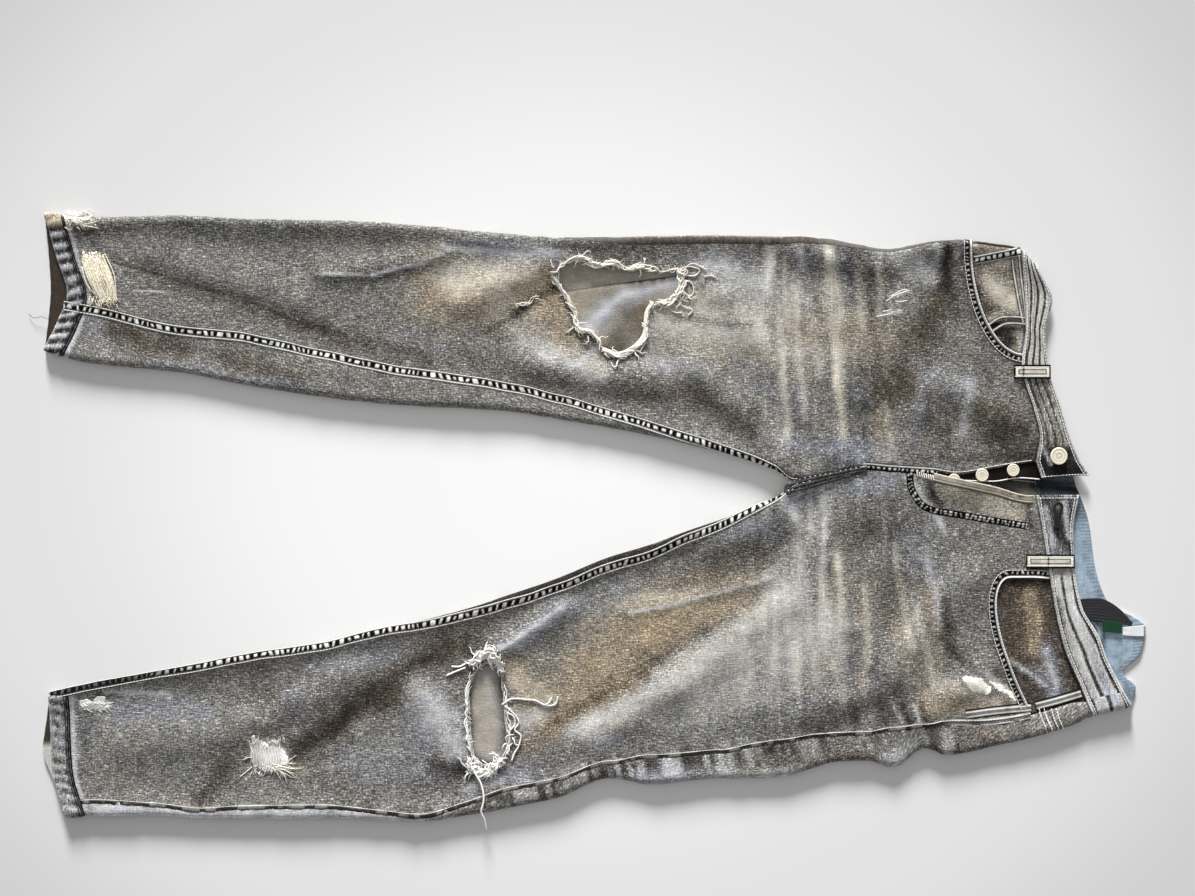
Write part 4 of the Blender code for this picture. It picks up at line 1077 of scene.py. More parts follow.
def back_piece(side, name, stations, seam_gap, slot):
    """One grid of the back between two stations, with its own wash underneath and the front's on top."""
    half = HALVES[side]
    x, w, length = panel_places(half, stations, BACK_STEP, "back")
    x[0] += seam_gap
    under = ~on_top(w)
    y = cloth(half, x, w)[..., 1]
    inward = np.where(under, ridges(INNER_FOLDS, x, y), 0.0)
    points, _ = surface(half, x, w, lift=-inward)
    above = brushed(x, y, FRONTS[side]["wash"] + (LEFT_EDGE_WASH if side == "left" else ()), FRONTS[side]["seed"])
    if side == "left":
        by_inseam = on_top(w) & (share_of(w) > 0.5)
        above = np.where(by_inseam[..., None], TONES["dark"] * 0.7, above)
    wash = np.where(under[..., None], brushed(x, y, BACK_WASH[side], 70), above)
    wash = by_the_hem(wash, half, x, w)
    all_round = 2 * once_over(half, x)
    if side == "left":
        wash = pulled(wash, half, x, np.where(length > 0.75 * all_round, length - all_round, length))
    inside = brushed(x, y, LINING_WASH_AND_SHADE, 80, "ash") * 0.92
    weave = weave_of(half, x, all_round - length)
    piece = grid_piece(name, points, {"wash": wash, "lining": inside}, weave, (WASHED, UNDERSIDE),
                       flip=half is RIGHT)
    belongs(piece, slot, name.replace("_panel", ""))
    cut(name.replace("_panel", ""), cloth(half, x, w))
    return piece


def paced(path):
    """The distance walked along a path, at each of its points."""
    return np.concatenate([[0], np.cumsum(np.linalg.norm(np.diff(path, axis=0), axis=1))])


def walked(corners, step):
    """The Catmull-Rom curve through the corners, in even steps."""
    p = np.array(corners, float)
    q = np.concatenate([2 * p[:1] - p[1:2], p, 2 * p[-1:] - p[-2:-1]])
    f = np.linspace(0, 1, 24, endpoint=False)[None, :, None]
    a, b, c, d = (q[k : len(q) - 3 + k, None] for k in range(4))
    curve = 0.5 * (2 * b + (c - a) * f + (2 * a - 5 * b + 4 * c - d) * f**2 + (3 * b - a - 3 * c + d) * f**3)
    curve = np.concatenate([curve.reshape(-1, p.shape[1]), q[-2:-1]])
    walk = paced(curve)
    at = np.linspace(0, walk[-1], max(int(walk[-1] / step), 3) + 1)
    return np.stack([np.interp(at, walk, curve[:, k]) for k in range(p.shape[1])], axis=-1)


def headings(path):
    """The unit vectors along a path, at each of its points."""
    ahead = np.gradient(path, axis=0)
    return ahead / (np.linalg.norm(ahead, axis=1, keepdims=True) + 1e-9)


def aside_of(path):
    """The unit vectors to the left of a flat path, at each of its points."""
    ahead = headings(path)
    return np.stack([-ahead[:, 1], ahead[:, 0]], axis=-1)


def faces_down(points):
    """Whether a grid's faces point down as they come: the cross product of its first two sides does."""
    return np.cross(points[1, 0] - points[0, 0], points[0, 1] - points[0, 0])[2] <= 0


# The back's cloth lies doubled behind the right knee, and the fold's edge shows through the rip.
FOLD_EDGE = ((-60, 218), (-28, 225), (0, 229), (45, 235), (94, 241.5))
FOLD_DEPTH, FOLD_STEP = 80.0, 1.6
# Painted light on the fold: the blue and pale strokes are a painted highlight along its rounded top, the brown and dark
# ones are painted shade in the hollow below; the tan is the cloth's own.
FOLD_WASH_LIGHT_AND_SHADE = (
    ("blue", ((-18, 176, 10, 200, 12, 0.7), (10, 200, 36, 219, 10, 0.7), (36, 219, 88, 232, 9, 0.8))),
    ("pale", ((-14, 182, 12, 204, 7, 0.75), (12, 204, 36, 222, 6, 0.75), (36, 222, 84, 234, 5, 0.7))),
    ("tan", ((-44, 214, -10, 214, 9, 0.5), (48, 205, 66, 218, 8, 0.5))),
    ("brown", ((34, 200, 50, 208, 5, 0.35), (22, 162, 44, 190, 14, 0.6), (12, 166, 24, 184, 7, 0.4))),
    ("dark", ((47, 168, 54, 204, 4, 0.45), (16, 160, 40, 160, 6, 0.35))),
)

backs = {}
for side in HALVES:
    legs = np.linspace(0, YOKE_STATION, int(BELOW_YOKE / BACK_STEP))
    backs[side] = back_piece(side, "back_panel_" + side, legs, 0.0, "grey_denim")
    backs["yoke_" + side] = back_piece(side, "yoke_panel_" + side, np.linspace(YOKE_STATION, 1, 22), SEAM_GAP,
                                       "grey_denim")

edge = walked(FOLD_EDGE, FOLD_STEP)
down = np.arange(0, FOLD_DEPTH, FOLD_STEP)[None, :]
flat = edge[:, None] - down[..., None] * aside_of(edge)[:, None]
x, y = flat[..., 0], flat[..., 1]
roll = 0.6 + 2.0 * ease(down / 2.0) * (0.35 + 0.65 * bell(down - 2.0, 20))
roll = roll - 0.9 * bell(from_line(x, y, 20, 170, 50, 200), 14)
points = np.stack([x, y, WALL + 1.1 + np.maximum(roll, 0.4) + 0.3 * hills(x, y, 18, 85)], axis=-1)
inside = brushed(x, y, FOLD_WASH_LIGHT_AND_SHADE, 86, "stone")
# A painted shadow line along the fold's edge.
inside = toned(inside, TONES["dark"] * 0.5, 0.95 * bell(down, 1.9))
knee_fold = grid_piece("knee_fold_right", points, {"lining": inside}, flat, (UNDERSIDE,), flip=faces_down(points),
                       wall=0.6)
belongs(knee_fold, "grey_denim")

# ---------------------------------------------------------------------------------------------------
# The hems: each a band of denim turned up twice and sewn down all round, roped by its own seam so that it
# puckers. The old indigo black is left in the valleys and rubbed off the ridges.

SEAM_BLACK, SEAM_WHITE = to_linear((10, 9, 9)), to_linear((242, 240, 235))
WORN_SEAM = denim("worn_seam_denim", contrast=2.6, slub=0.35, warm=0.03, sheen=0.0, gloss=0.04)
DOUBLED = (DOUBLE_WALL - WALL) / 2  # how much further out the face of a doubled cloth lies
HEM_STEP, HEM_ROWS, HEM_ROUND, NEAR_HEM = 1.5, 12, 285, -540.0
ROPE_PITCH, ROPE_RISE = 11.5, 0.75


def on_front(half, x, y, lift=0.0, rough=1.0, lie=LIE):
    """The points on the front above (x, y), and the normals there."""
    x, y = np.asarray(x, float), np.asarray(y, float)
    share = place_at(half, x, y)
    w = np.clip(share, 0.002, 0.998)
    return surface(half, x, w, lift, rough, lie=lie, beyond=share - w)


def strip_piece(name, half, path, reach, columns, shape_of, finish, slot, lie=LIE):
    """A strip sewn along a flat path on the front. The shape gives its lift and its colour from how far
    along and how far aside of the path each point is."""
    along = paced(path)[:, None]
    across = np.linspace(*reach, columns)[None, :]
    flat = path[:, None] + across[..., None] * aside_of(path)[:, None]
    lift, colour = shape_of(along + 0 * across, across + 0 * along, flat[..., 0], flat[..., 1])
    points, _ = on_front(half, flat[..., 0], flat[..., 1], lift=lift, lie=lie)
    weave = np.stack([along + 0 * across, across + 0 * along], axis=-1)
    piece = grid_piece(name, points, {"wash": colour}, weave, (finish,), flip=faces_down(points), seated=True)
    return belongs(piece, slot)


for side, half in HALVES.items():
    up = np.linspace(0, 1, HEM_ROWS)[:, None]
    around_steps = np.linspace(0, 1, int(HEM_ROUND / HEM_STEP), endpoint=False)[None, :]
    x = np.full((HEM_ROWS, around_steps.shape[1]), NEAR_HEM)
    for _ in range(ROUNDS):
        length = around_steps * 2 * once_over(half, x)
        w = around(half, x, length)
        x = lined_up(half, "hem", "", w) + HEM_DEPTH * up
    rope = length / ROPE_PITCH + 0.55 * up + 0.35 * hills(length, up * 10, 30, 90)
    wave = np.sin(2 * np.pi * rope) * (0.75 + 0.4 * hills(length, up * 6, 17, 91)) * (1.0 if side == "right" else 0.5)
    raised = ROPE_RISE * wave * (0.35 + 0.65 * np.sin(np.pi * up)) - 0.9 * ease((0.16 - up) / 0.16)
    raised = np.where(on_top(w), raised, -0.4 * np.abs(raised))
    points, _ = surface(half, x, w, lift=DOUBLED + raised, bottom=DOUBLE_WALL / 2)
    middle = cloth(half, x, w)
    y = middle[..., 1]
    ridge = ease(0.42 + 0.75 * wave + 0.3 * hills(length, up * 17, 3.5, 92))
    deep = TONES["dark"] * 0.8 if side == "right" else TONES["grey"] * 0.5
    band = toned(deep, TONES["pale"] * 0.85, ridge)
    band = toned(band, TONES["pale"], 0.5 * bell(up, 0.09) + 0.3 * bell(up - 0.62, 0.05))
    band = toned(band, TONES["dark"] * 0.7, bell(up - 0.93, 0.08))
    band = toned(band, to_linear((196, 182, 158)) * (0.55 + 0.6 * ridge[..., None]), 0.85 * ease((y - 284) / 8))
    turned_in = to_linear((58, 50, 42))
    if side == "left":
        turned_in = toned(turned_in, TONES["pale"] * (1.0, 1.0, 0.88), ease((-224 - y) / 8))
    colours = {"wash": band, "lining": turned_in}
    name = "hem_" + side
    weave = np.stack([length, x * np.ones_like(length)], axis=-1)
    hem = grid_piece(name + "_band", points, colours, weave, (WASHED, UNDERSIDE), flip=half is RIGHT,
                     wall=DOUBLE_WALL, ring=True)
    belongs(hem, "grey_denim", name)
    cut(name, middle)
    backs[name] = hem


def hem_line(along, across, x, y):
    """The groove of the hem's seam, black, with its thread a dull line in the middle."""
    thread = (0.18 * bell(across, 0.45) * (0.6 + 0.5 * hills(along, across, 2.5, 95)))[..., None]
    return 0.5 + 0.1 * bell(across, 1.0), SEAM_BLACK * 0.8 + (SEAM_WHITE - SEAM_BLACK) * np.clip(thread, 0, 1)


hem_lines = {}
for side, half in HALVES.items():
    w = np.linspace(0.012, 0.988, 150)
    x = lined_up(half, "hem", "", w) + HEM_FROM + 0.9
    line = np.stack([x, cloth(half, x, w)[..., 1]], axis=-1)
    wide = 1.8 if side == "left" else 1.5
    hem_lines[side] = strip_piece("hem_line_" + side, half, line, (-wide, wide), 7, hem_line, WORN_SEAM, "dark_denim")

# ---------------------------------------------------------------------------------------------------
# The long seams. The inseams are flat felled: the seam's own cloth rides up as a ridge between two rows
# of stitching, black in its puckers and rubbed white on their tops. The outer seams are plain.

SEAM_STEP, INSEAM_REACH, INSEAM_FROM = 0.8, 5.8, {"right": -529.0, "left": -541.5}
BLOCK_PITCH, BLOCK_REACH, ROW_AT = 6.6, 2.3, 4.1


def worn_blocks(along, across, pitch, reach, seed, gaps=(0.4, 0.8)):
    """1 on the rubbed tops between the puckers of a seam, 0 in the valleys: bars at random steps about the
    pitch, each with its own lean, width and height."""
    rng = np.random.default_rng(seed)
    ends = np.cumsum(rng.uniform(0.6, 1.4, 4000) * pitch)
    gap, lean, tall = rng.uniform(*gaps, 4000), rng.uniform(-0.5, 0.5, 4000), rng.uniform(0.6, 1.1, 4000)
    which = np.searchsorted(ends, along + 0.15 * across)
    start = np.where(which > 0, ends[which - 1], 0.0)
    at = (along + lean[which] * across - start) / (ends[which] - start)
    wide = ease((0.5 - gap[which] / 2 - np.abs(at - 0.5)) / 0.12 + 0.5)
    return wide * ease((reach * tall[which] - np.abs(across)) / 0.7 + 0.5)


def capsules(name, centres, ahead, up, length, radius, finish):
    """Many stitches in one mesh. Each is a short round rod with pointed ends, a ring of five points at four
    places, laid ahead along its seam with its back to the cloth's own up."""
    side = np.cross(ahead, up)
    rings = np.array([-0.46, -0.25, 0.25, 0.46])
    girth = np.array([0.62, 1.0, 1.0, 0.62])
    sides = 5
    turn = np.arange(sides) * 2 * np.pi / sides
    n, foot = len(centres), 4 * sides
    around_it = np.cos(turn)[:, None] * side[:, None] + np.sin(turn)[:, None] * up[:, None]
    body = centres[:, None, None] + rings[:, None, None] * length * ahead[:, None, None]
    body = body + girth[:, None, None] * radius * around_it[:, None]
    tips = centres[:, None] + np.array([-0.5, 0.5])[:, None] * length * ahead[:, None]
    points = np.concatenate([body.reshape(n, foot, 3), tips], axis=1).reshape(-1, 3)
    k = np.arange(sides)
    nxt = (k + 1) % sides
    quads = [np.stack([r * sides + k, r * sides + nxt, (r + 1) * sides + nxt, (r + 1) * sides + k], axis=-1)
             for r in range(3)]
    quads = np.concatenate(quads)[None] + np.arange(n)[:, None, None] * (foot + 2)
    last = foot - sides
    caps = np.concatenate([np.stack([nxt, k, np.full(sides, foot)], axis=-1),
                           np.stack([last + k, last + nxt, np.full(sides, foot + 1)], axis=-1)])
    caps = caps[None] + np.arange(n)[:, None, None] * (foot + 2)
    return mesh_piece(name, points, quads.reshape(-1, 4).tolist() + caps.reshape(-1, 3).tolist(), finish)


def thread_material(name, tone, dark, size):
    """Spun cotton: its tone broken by darker fibres a fraction of a millimetre wide."""
    made, tree, shader = fresh_material(name, 0.8)
    place = node(tree, "TexCoord").outputs["Object"]
    sockets = {"Vector": place, "Scale": 1 / (size * MM), "Detail": 2.0, "Roughness": 0.6}
    fibres = node(tree, "TexNoise", sockets).outputs["Fac"]
    spread = node(tree, "MapRange", {0: fibres, 1: 0.36, 2: 0.58}).outputs[0]
    sockets = {"Factor": spread, 6: (*to_linear(dark), 1), 7: (*to_linear(tone), 1)}
    tree.links.new(node(tree, "Mix", sockets, data_type="RGBA").outputs[2], shader.inputs["Base Color"])
    shader.inputs["Sheen Weight"].default_value = 0.1
    shader.inputs["Specular IOR Level"].default_value = 0.2
    return made


CREAM_THREAD = thread_material("cream_thread", (250, 246, 236), (206, 198, 182), 0.9)
WHITE_THREAD = thread_material("white_thread", (252, 251, 248), (214, 211, 204), 0.8)
BLACK_THREAD = thread_material("black_thread", (30, 28, 27), (10, 10, 10), 1.0)
STITCH_PITCH, STITCH_LENGTH, STITCH_RADIUS = 3.2, 3.0, 0.42
seam_pieces = {"right": [], "left": []}


def stitches_on(name, points, normals, finish, pitch, radius, size, lift=0.0):
    """Stitches at even steps along a line of points, with the cloth's normals there."""
    points = points + lift * normals
    walk = paced(points)
    at = np.arange(pitch / 2, walk[-1], pitch)

    def there(values, shift=0.0):
        """The values at each stitch's middle, or shifted along from it."""
        return np.stack([np.interp(at + shift, walk, values[:, k]) for k in range(3)], axis=-1)

    ahead = there(points, 0.5) - there(points, -0.5)
    ahead /= np.linalg.norm(ahead, axis=-1, keepdims=True) + 1e-9
    return capsules(name, there(points), ahead, there(normals), size, radius, finish)


def seam_strip(name, half, x, length, lift, colour):
    """A strip of worn seam along a leg, at the places given by x and the length round the tube."""
    points, _ = surface(half, x, around(half, x, length), lift=lift)
    weave = np.stack([np.broadcast_to(x, length.shape), length], axis=-1)
    strip = grid_piece(name, points, {"wash": colour}, weave, (WORN_SEAM,), flip=half is RIGHT, seated=True)
    return belongs(strip, "dark_denim")


def stitch_row(name, half, x, length, lift, finish, radius=STITCH_RADIUS):
    """Stitches laid in line along a row of places given by x and the length round the tube."""
    points, normals = surface(half, x, around(half, x, length), lift=lift)
    return stitches_on(name, points, normals, finish, STITCH_PITCH, radius, STITCH_LENGTH)


for side, half in HALVES.items():
    x = np.arange(INSEAM_FROM[side], CROTCH_X + 2, SEAM_STEP)[:, None]
    across = np.linspace(-INSEAM_REACH, INSEAM_REACH, 15)[None, :]
    seam = seam_line(half, "inseam_in", x) + 0.5 * hills(x, 0 * x, 22, 100)
    worn = 0.85 - 0.77 * ease((-350 - x) / 110) if side == "left" else np.ones_like(x)
    thick = across if side == "right" else -across
    blocks = worn_blocks(x + 600, across, BLOCK_PITCH, BLOCK_REACH, 101) * worn
    hump = 0.95 * (1 - (across / INSEAM_REACH) ** 4) - 0.35 * bell(np.abs(across) - ROW_AT, 0.6) + 0.3 * blocks
    white = np.maximum(blocks * (0.85 + 0.3 * hills(x, across, 2.2, 102)), 0)
    rows = 1.5 * bell(thick - ROW_AT, 0.85) + 1.1 * bell(thick + ROW_AT, 0.55)
    white = np.clip(white + 0.75 * rows * (0.85 + 0.3 * hills(x, across, 4, 103)) * worn**0.5, 0, 1)
    colour = toned(SEAM_BLACK, SEAM_WHITE, white)
    seam_pieces[side].append(seam_strip("inseam_" + side, half, x, seam + across, hump - 0.15, colour))
    for row, aside in (("upper", ROW_AT), ("lower", -ROW_AT)):
        stitches = stitch_row(f"inseam_stitches_{side}_{row}", half, x[:, 0], seam[:, 0] + aside, 0.55, WHITE_THREAD)
        seam_pieces[side].append(belongs(stitches, "pale_cotton"))

# The left outer seam lies on the front and its rows of stitches show all the way. The right one runs along
# the fold, as a brown worn edge on the thigh.

LEFT_REACH, LEFT_UPPER, LEFT_LOWER, RIGHT_REACH = 3.4, 1.4, -1.6, 4.5
x = np.arange(-524.0, 436.0, SEAM_STEP)[:, None]
across = np.linspace(-LEFT_REACH, LEFT_REACH, 9)[None, :]
thick = ease((x - 335) / 30)
seam = seam_line(LEFT, "outseam_in", x)
pinch = hills(x, 0 * across, 5.5, 110)
lift = 0.35 * (1 - (across / LEFT_REACH) ** 2) - 0.12 + 0.15 * pinch
white = 0.9 * bell(across - LEFT_UPPER, 0.5) + 0.9 * thick * bell(across - LEFT_LOWER, 0.6)
white = np.clip(white * (0.55 + 0.6 * thick + 0.7 * hills(x, across, 9, 111)), 0, 1)
base = toned(TONES["dark"], TONES["grey"], ease((pinch + 0.35) / 0.7)) * (1 - 0.75 * thick[..., None])
colour = toned(base, SEAM_WHITE, white)
length = seam + across * (1 + 0.45 * thick)
seam_pieces["left"].append(seam_strip("outseam_left", LEFT, x, length, lift, colour))
for row, aside, thread in (("upper", LEFT_UPPER, WHITE_THREAD), ("lower", LEFT_LOWER, BLACK_THREAD)):
    stitches = stitch_row("outseam_stitches_left_" + row, LEFT, x[:, 0], seam[:, 0] + aside, 0.28, thread, 0.3)
    seam_pieces["left"].append(belongs(stitches, "pale_cotton"))

x = np.arange(-30.0, 425.0, SEAM_STEP)[:, None]
across = np.linspace(-RIGHT_REACH, RIGHT_REACH, 9)[None, :]
length = seam_line(RIGHT, "outseam_in", x) + across
lift = 0.35 * (1 - (across / RIGHT_REACH) ** 4) - 0.15
ticks = worn_blocks(x + 60, across, 6.5, 4.0, 112)
worn = 0.7 * ease((x - 20) / 25) * ease((240 - x) / 25)
colour = toned(TONES["grey"] * 0.72, toned(TONES["dark"], TONES["brown"] * 1.5, 0.45 + 0.55 * ticks), worn)
seam_pieces["right"].append(seam_strip("outseam_right", RIGHT, x, length, lift, colour))

# ---------------------------------------------------------------------------------------------------
# Bare yarns. Where the denim is torn its black warp is gone and the white weft hangs on: rolled rims
# round the knees' rips, loops and single threads, a ladder on the left shin, the right hem's burst fold.


def yarn_piece(name, yarns, finish, sides=6, squash=1.0):
    """Round yarns in one mesh, each a path of points with its radius at each, closed at both ends."""
    turn = np.linspace(0, 2 * np.pi, sides, endpoint=False)
    points, faces, base = [], [], 0
    for path, radii in yarns:
        ahead = headings(path)
        side = np.cross(ahead, (0.0, 0.0, 1.0))
        side /= np.linalg.norm(side, axis=1, keepdims=True) + 1e-9
        up = np.cross(side, ahead) * squash
        girth = np.broadcast_to(radii, len(path))[:, None, None]
        ring = path[:, None] + girth * (np.cos(turn)[:, None] * side[:, None] + np.sin(turn)[:, None] * up[:, None])
        index = base + np.arange(len(path) * sides).reshape(-1, sides)
        nxt = np.roll(index, -1, axis=1)
        faces += np.stack([index[:-1], nxt[:-1], nxt[1:], index[1:]], axis=-1).reshape(-1, 4).tolist()
        faces += [index[0][::-1].tolist(), index[-1].tolist()]
        points.append(ring.reshape(-1, 3))
        base += index.size
    return mesh_piece(name, np.concatenate(points), faces, finish)


def lay(half, path, lift):
    """A flat path laid on the front, with its lift above the cloth at each point."""
    on, _ = on_front(half, path[:, 0], path[:, 1], rough=0.6)
    on[:, 2] += lift
    return on


def rim_yarns(half, path, count, spread, girth, high, seed, size=9.0):
    """Yarns that twist about each other along a torn edge, each over a stretch of it. They wander to
    either side, up and down, by random hills, swell and thin, and leave the edge at their ends."""
    rng = np.random.default_rng(seed)
    aside = aside_of(path)
    step = np.linalg.norm(path[1] - path[0])
    along = np.arange(len(path)) * step
    found = []
    for k in range(count):
        reach = int(rng.uniform(16, 42) / step)
        start = int(rng.integers(-reach // 3, max(len(path) - reach // 2, 1)))
        part = slice(max(start, 0), min(start + reach, len(path)))
        if part.stop - part.start < 6:
            continue
        own = np.full_like(along, 31.0 * k)
        off = spread * hills(along, own, size, seed) + 0.5 * spread * hills(along, own, size * 0.45, seed + 5)
        t = np.linspace(-1, 1, part.stop - part.start)
        off[part] += rng.normal(0, 0.8 * spread) * np.abs(t) ** 4
        lift = high * (1 + hills(along, own, size * 0.8, seed + 1)) / 2
        radii = girth * (0.85 + 0.45 * hills(along, own, 6, seed + 2))
        radii[part] *= 1 - 0.55 * np.abs(t) ** 6
        found.append((lay(half, (path + aside * off[:, None])[part], (lift + girth * 0.6)[part]), radii[part]))
    return found


def tangles(half, places, count, spread, girth, high, seed):
    """Little knots of yarn: short ends that curl tightly round places on a torn edge."""
    rng = np.random.default_rng(seed)
    places = np.array(places, float)
    starts = places[rng.integers(0, len(places), count)] + rng.normal(0, spread, (count, 2))
    ways, reaches = rng.uniform(0, 2 * np.pi, count), rng.uniform(7, 16, count)
    return loose_yarns(half, starts, ways, reaches, girth, high, seed + 1, curl=0.7)


def loose_yarns(half, starts, headings, lengths, girth, high, seed, curl=0.30):
    """Single ends that wander off from their starting points, turning at random, and settle on the cloth."""
    rng = np.random.default_rng(seed)
    found = []
    for start, heading, reach in zip(starts, headings, lengths, strict=True):
        n = max(int(reach / 1.2), 4)
        drift = rng.normal(0, curl * 0.3) + np.cumsum(rng.normal(0, curl, n)) * 0.6
        way = heading + drift
        path = start + np.cumsum(1.2 * np.stack([np.cos(way), np.sin(way)], axis=-1), axis=0)
        path = np.concatenate([[start], path])
        t = np.linspace(0, 1, len(path))
        lift = 0.5 + high * np.sin(np.pi * t) * rng.uniform(0.3, 1.0)
        found.append((lay(half, path, lift), girth * (1.05 - 0.6 * t)))
    return found


def along_edge(path, count, seed):
    """Random points on a path with the way to its left there."""
    rng = np.random.default_rng(seed)
    pick = rng.integers(1, len(path) - 1, count)
    aside = aside_of(path)[pick]
    return path[pick], np.arctan2(aside[:, 1], aside[:, 0])


torn = {"right": [], "left": []}


def tear(side, name, yarns, finish, sides=5, squash=1.0):
    """Hang a piece of bare yarns on one leg."""
    torn[side].append(yarn_piece(name, yarns, finish, sides, squash))


def strands(half, paths, lift, girth):
    """Single yarns of one thickness, each laid along its own path."""
    return [(lay(half, walked(path, 1.0), lift), girth) for path in paths]


def twisted(half, rolls):
    """The twisted yarns along each torn edge of a list of edges."""
    return [yarn for corners, *how in rolls for yarn in rim_yarns(half, walked(corners, 1.2), *how)]


def ragged(half, edges, girth, spread, rng):
    """Short ends that stand off each torn edge of a list: to its left, turned by the edge's own angle and a
    random one."""
    found = []
    for corners, count, turned, seed in edges:
        starts, ways = along_edge(walked(corners, 1.0), count, seed)
        ways = ways + turned + rng.normal(0, spread, count)
        found += loose_yarns(half, starts, ways, rng.uniform(4, 9, count), girth, 1.2, seed + 10)
    return found


def scattered(half, count, xs, ys, ways, reaches, rng, *how, **more):
    """Loose yarns from random places in a box, with random headings (middle, spread) and lengths."""
    starts = np.stack([rng.uniform(*xs, count), rng.uniform(*ys, count)], axis=-1)
    return loose_yarns(half, starts, rng.normal(*ways, count), rng.uniform(*reaches, count), *how, **more)


# Right knee: a knotted, twisted roll along the top, a smooth broad roll on the lower right, thin twisted
# yarns on the left, and short ends all round. A roll's row is its edge, how many yarns, how far they wander,
# their radius, their height, seed and wave; a row of ends is an edge, how many, their turn and seed.
TOP_ROLL = ((-40, 240), (-31, 250), (-14, 258), (4, 250), (21, 253), (34, 246), (49, 249), (67, 244), (84, 246))
TIP_ROLL = ((84, 246), (88, 236), (85, 226), (76, 214), (61, 212))
SMOOTH_ROLL = ((60, 213), (54, 202), (52, 180), (40, 166), (24, 160), (8, 166))
LEFT_ROLL = ((8, 166), (-2, 183), (-15, 187), (-20, 203), (-30, 222), (-40, 240))
RIGHT_ROLLS = ((TOP_ROLL, 28, 2.6, 1.0, 2.6, 120, 10), (TIP_ROLL, 18, 3.6, 1.0, 3.0, 123, 8),
               (SMOOTH_ROLL, 16, 2.4, 1.2, 1.8, 126, 16), (LEFT_ROLL, 22, 2.2, 0.95, 2.2, 129, 10))
RIGHT_KNOTS = ((-40, 236), (-38, 248), (-32, 222), (-16, 258), (20, 252), (84, 244), (88, 238), (92, 222), (86, 216),
               (72, 212), (-18, 190), (-6, 184), (3, 174), (10, 166), (22, 158), (40, 164), (48, 250), (62, 245))
RIGHT_ENDS = ((TOP_ROLL, 20, 0, 131), (TIP_ROLL, 10, 0, 132), (SMOOTH_ROLL, 6, 0, 133), (LEFT_ROLL, 14, 0, 134),
              (TOP_ROLL, 12, np.pi, 135), (LEFT_ROLL, 8, np.pi, 136))
FAN = ((-30, 252), (-26, 255), (-20, 257), (-14, 259), (-6, 258))
RIGHT_LOOPS = (((84, 246), (94, 249), (105, 246), (101, 240), (90, 240)), ((86, 236), (97, 233), (99, 222), (90, 216)),
               ((80, 220), (88, 210), (98, 206), (94, 200)), ((70, 214), (79, 204), (88, 203)),
               ((88, 244), (98, 252), (112, 246)), ((110, 239), (116, 240), (122, 238)))
knee_chance = np.random.default_rng(7)
yarns = twisted(RIGHT, RIGHT_ROLLS) + tangles(RIGHT, RIGHT_KNOTS, 46, 1.4, 0.85, 2.0, 137)
tear("right", "knee_roll_right", yarns, CREAM_THREAD)
path = walked(SMOOTH_ROLL, 1.0)
core = lay(RIGHT, path - aside_of(path) * 1.5, 0.4)
girth = 2.9 * np.sin(np.pi * np.linspace(0.06, 0.94, len(core))) ** 0.5
tear("right", "knee_roll_right_core", [(core, girth)], CREAM_THREAD, sides=10, squash=0.6)
ends = ragged(RIGHT, RIGHT_ENDS, 0.34, 0.7, knee_chance)
ends += loose_yarns(RIGHT, np.array(FAN, float), (2.4, 2.2, 2.0, 1.7, 1.5), (11, 12, 10, 9, 8), 0.3, 1.0, 150)
ends += strands(RIGHT, RIGHT_LOOPS, 0.9, 0.65)
tear("right", "knee_ends_right", ends, CREAM_THREAD)

# Left knee: a white roped roll down the hem side, knots at the top and bottom corners, loops and long
# threads on the thigh side, and one thread that hangs far over the inseam.
HEM_SIDE_ROLL = ((-122, -150), (-126, -168), (-127, -192), (-127, -216), (-122, -238), (-116, -248))
TOP_KNOT = ((-124, -150), (-114, -140), (-104, -136), (-96, -146), (-92, -156))
FOOT_KNOT = ((-128, -246), (-118, -252), (-108, -256), (-100, -250), (-92, -242))
THIGH_SIDE = ((-92, -156), (-88, -176), (-86, -200), (-84, -222), (-90, -242))
LEFT_ROLLS = ((HEM_SIDE_ROLL, 15, 1.9, 0.75, 1.6, 160, 8), (TOP_KNOT, 26, 4.6, 0.95, 3.4, 163, 6),
              (FOOT_KNOT, 26, 4.2, 1.0, 3.2, 166, 6), (THIGH_SIDE, 8, 1.5, 0.6, 1.3, 169, 7))
LEFT_KNOTS = ((-118, -142), (-110, -137), (-102, -138), (-98, -146), (-104, -143), (-124, -250), (-116, -254),
              (-108, -254), (-100, -249), (-120, -246), (-94, -243), (-86, -226))
LEFT_ENDS = ((HEM_SIDE_ROLL, 8, 0, 171), (TOP_KNOT, 14, np.pi, 172), (TOP_KNOT, 12, 0, 175), (FOOT_KNOT, 22, 0, 173),
             (THIGH_SIDE, 8, 0, 174), (FOOT_KNOT, 10, np.pi, 176))
LEFT_THREADS = (
    ((-92, -188), (-84, -183), (-78, -182), (-66, -183), (-58, -184), (-50, -188), (-45, -186), (-42, -181)),
    ((-50, -188), (-44, -189), (-38, -187), (-36, -180)),
    ((-128, -151), (-138, -155), (-147, -159)),
    ((-126, -146), (-134, -150), (-142, -150)),
    ((-89, -189), (-79, -198), (-75, -206), (-79, -213), (-73, -219), (-75, -229), (-79, -236), (-82, -244)),
    ((-86, -196), (-80, -200), (-79, -208), (-84, -214)),
)
HANGING = ((-120, -254, 9.5), (-113, -265, 11.5), (-110, -276, 13), (-110, -285, 13.8), (-112, -294, 13.2),
           (-109, -302, 12), (-107, -312, 10))
yarns = twisted(LEFT, LEFT_ROLLS) + tangles(LEFT, LEFT_KNOTS, 70, 2.2, 0.9, 2.6, 177)
tear("left", "knee_roll_left", yarns, WHITE_THREAD)
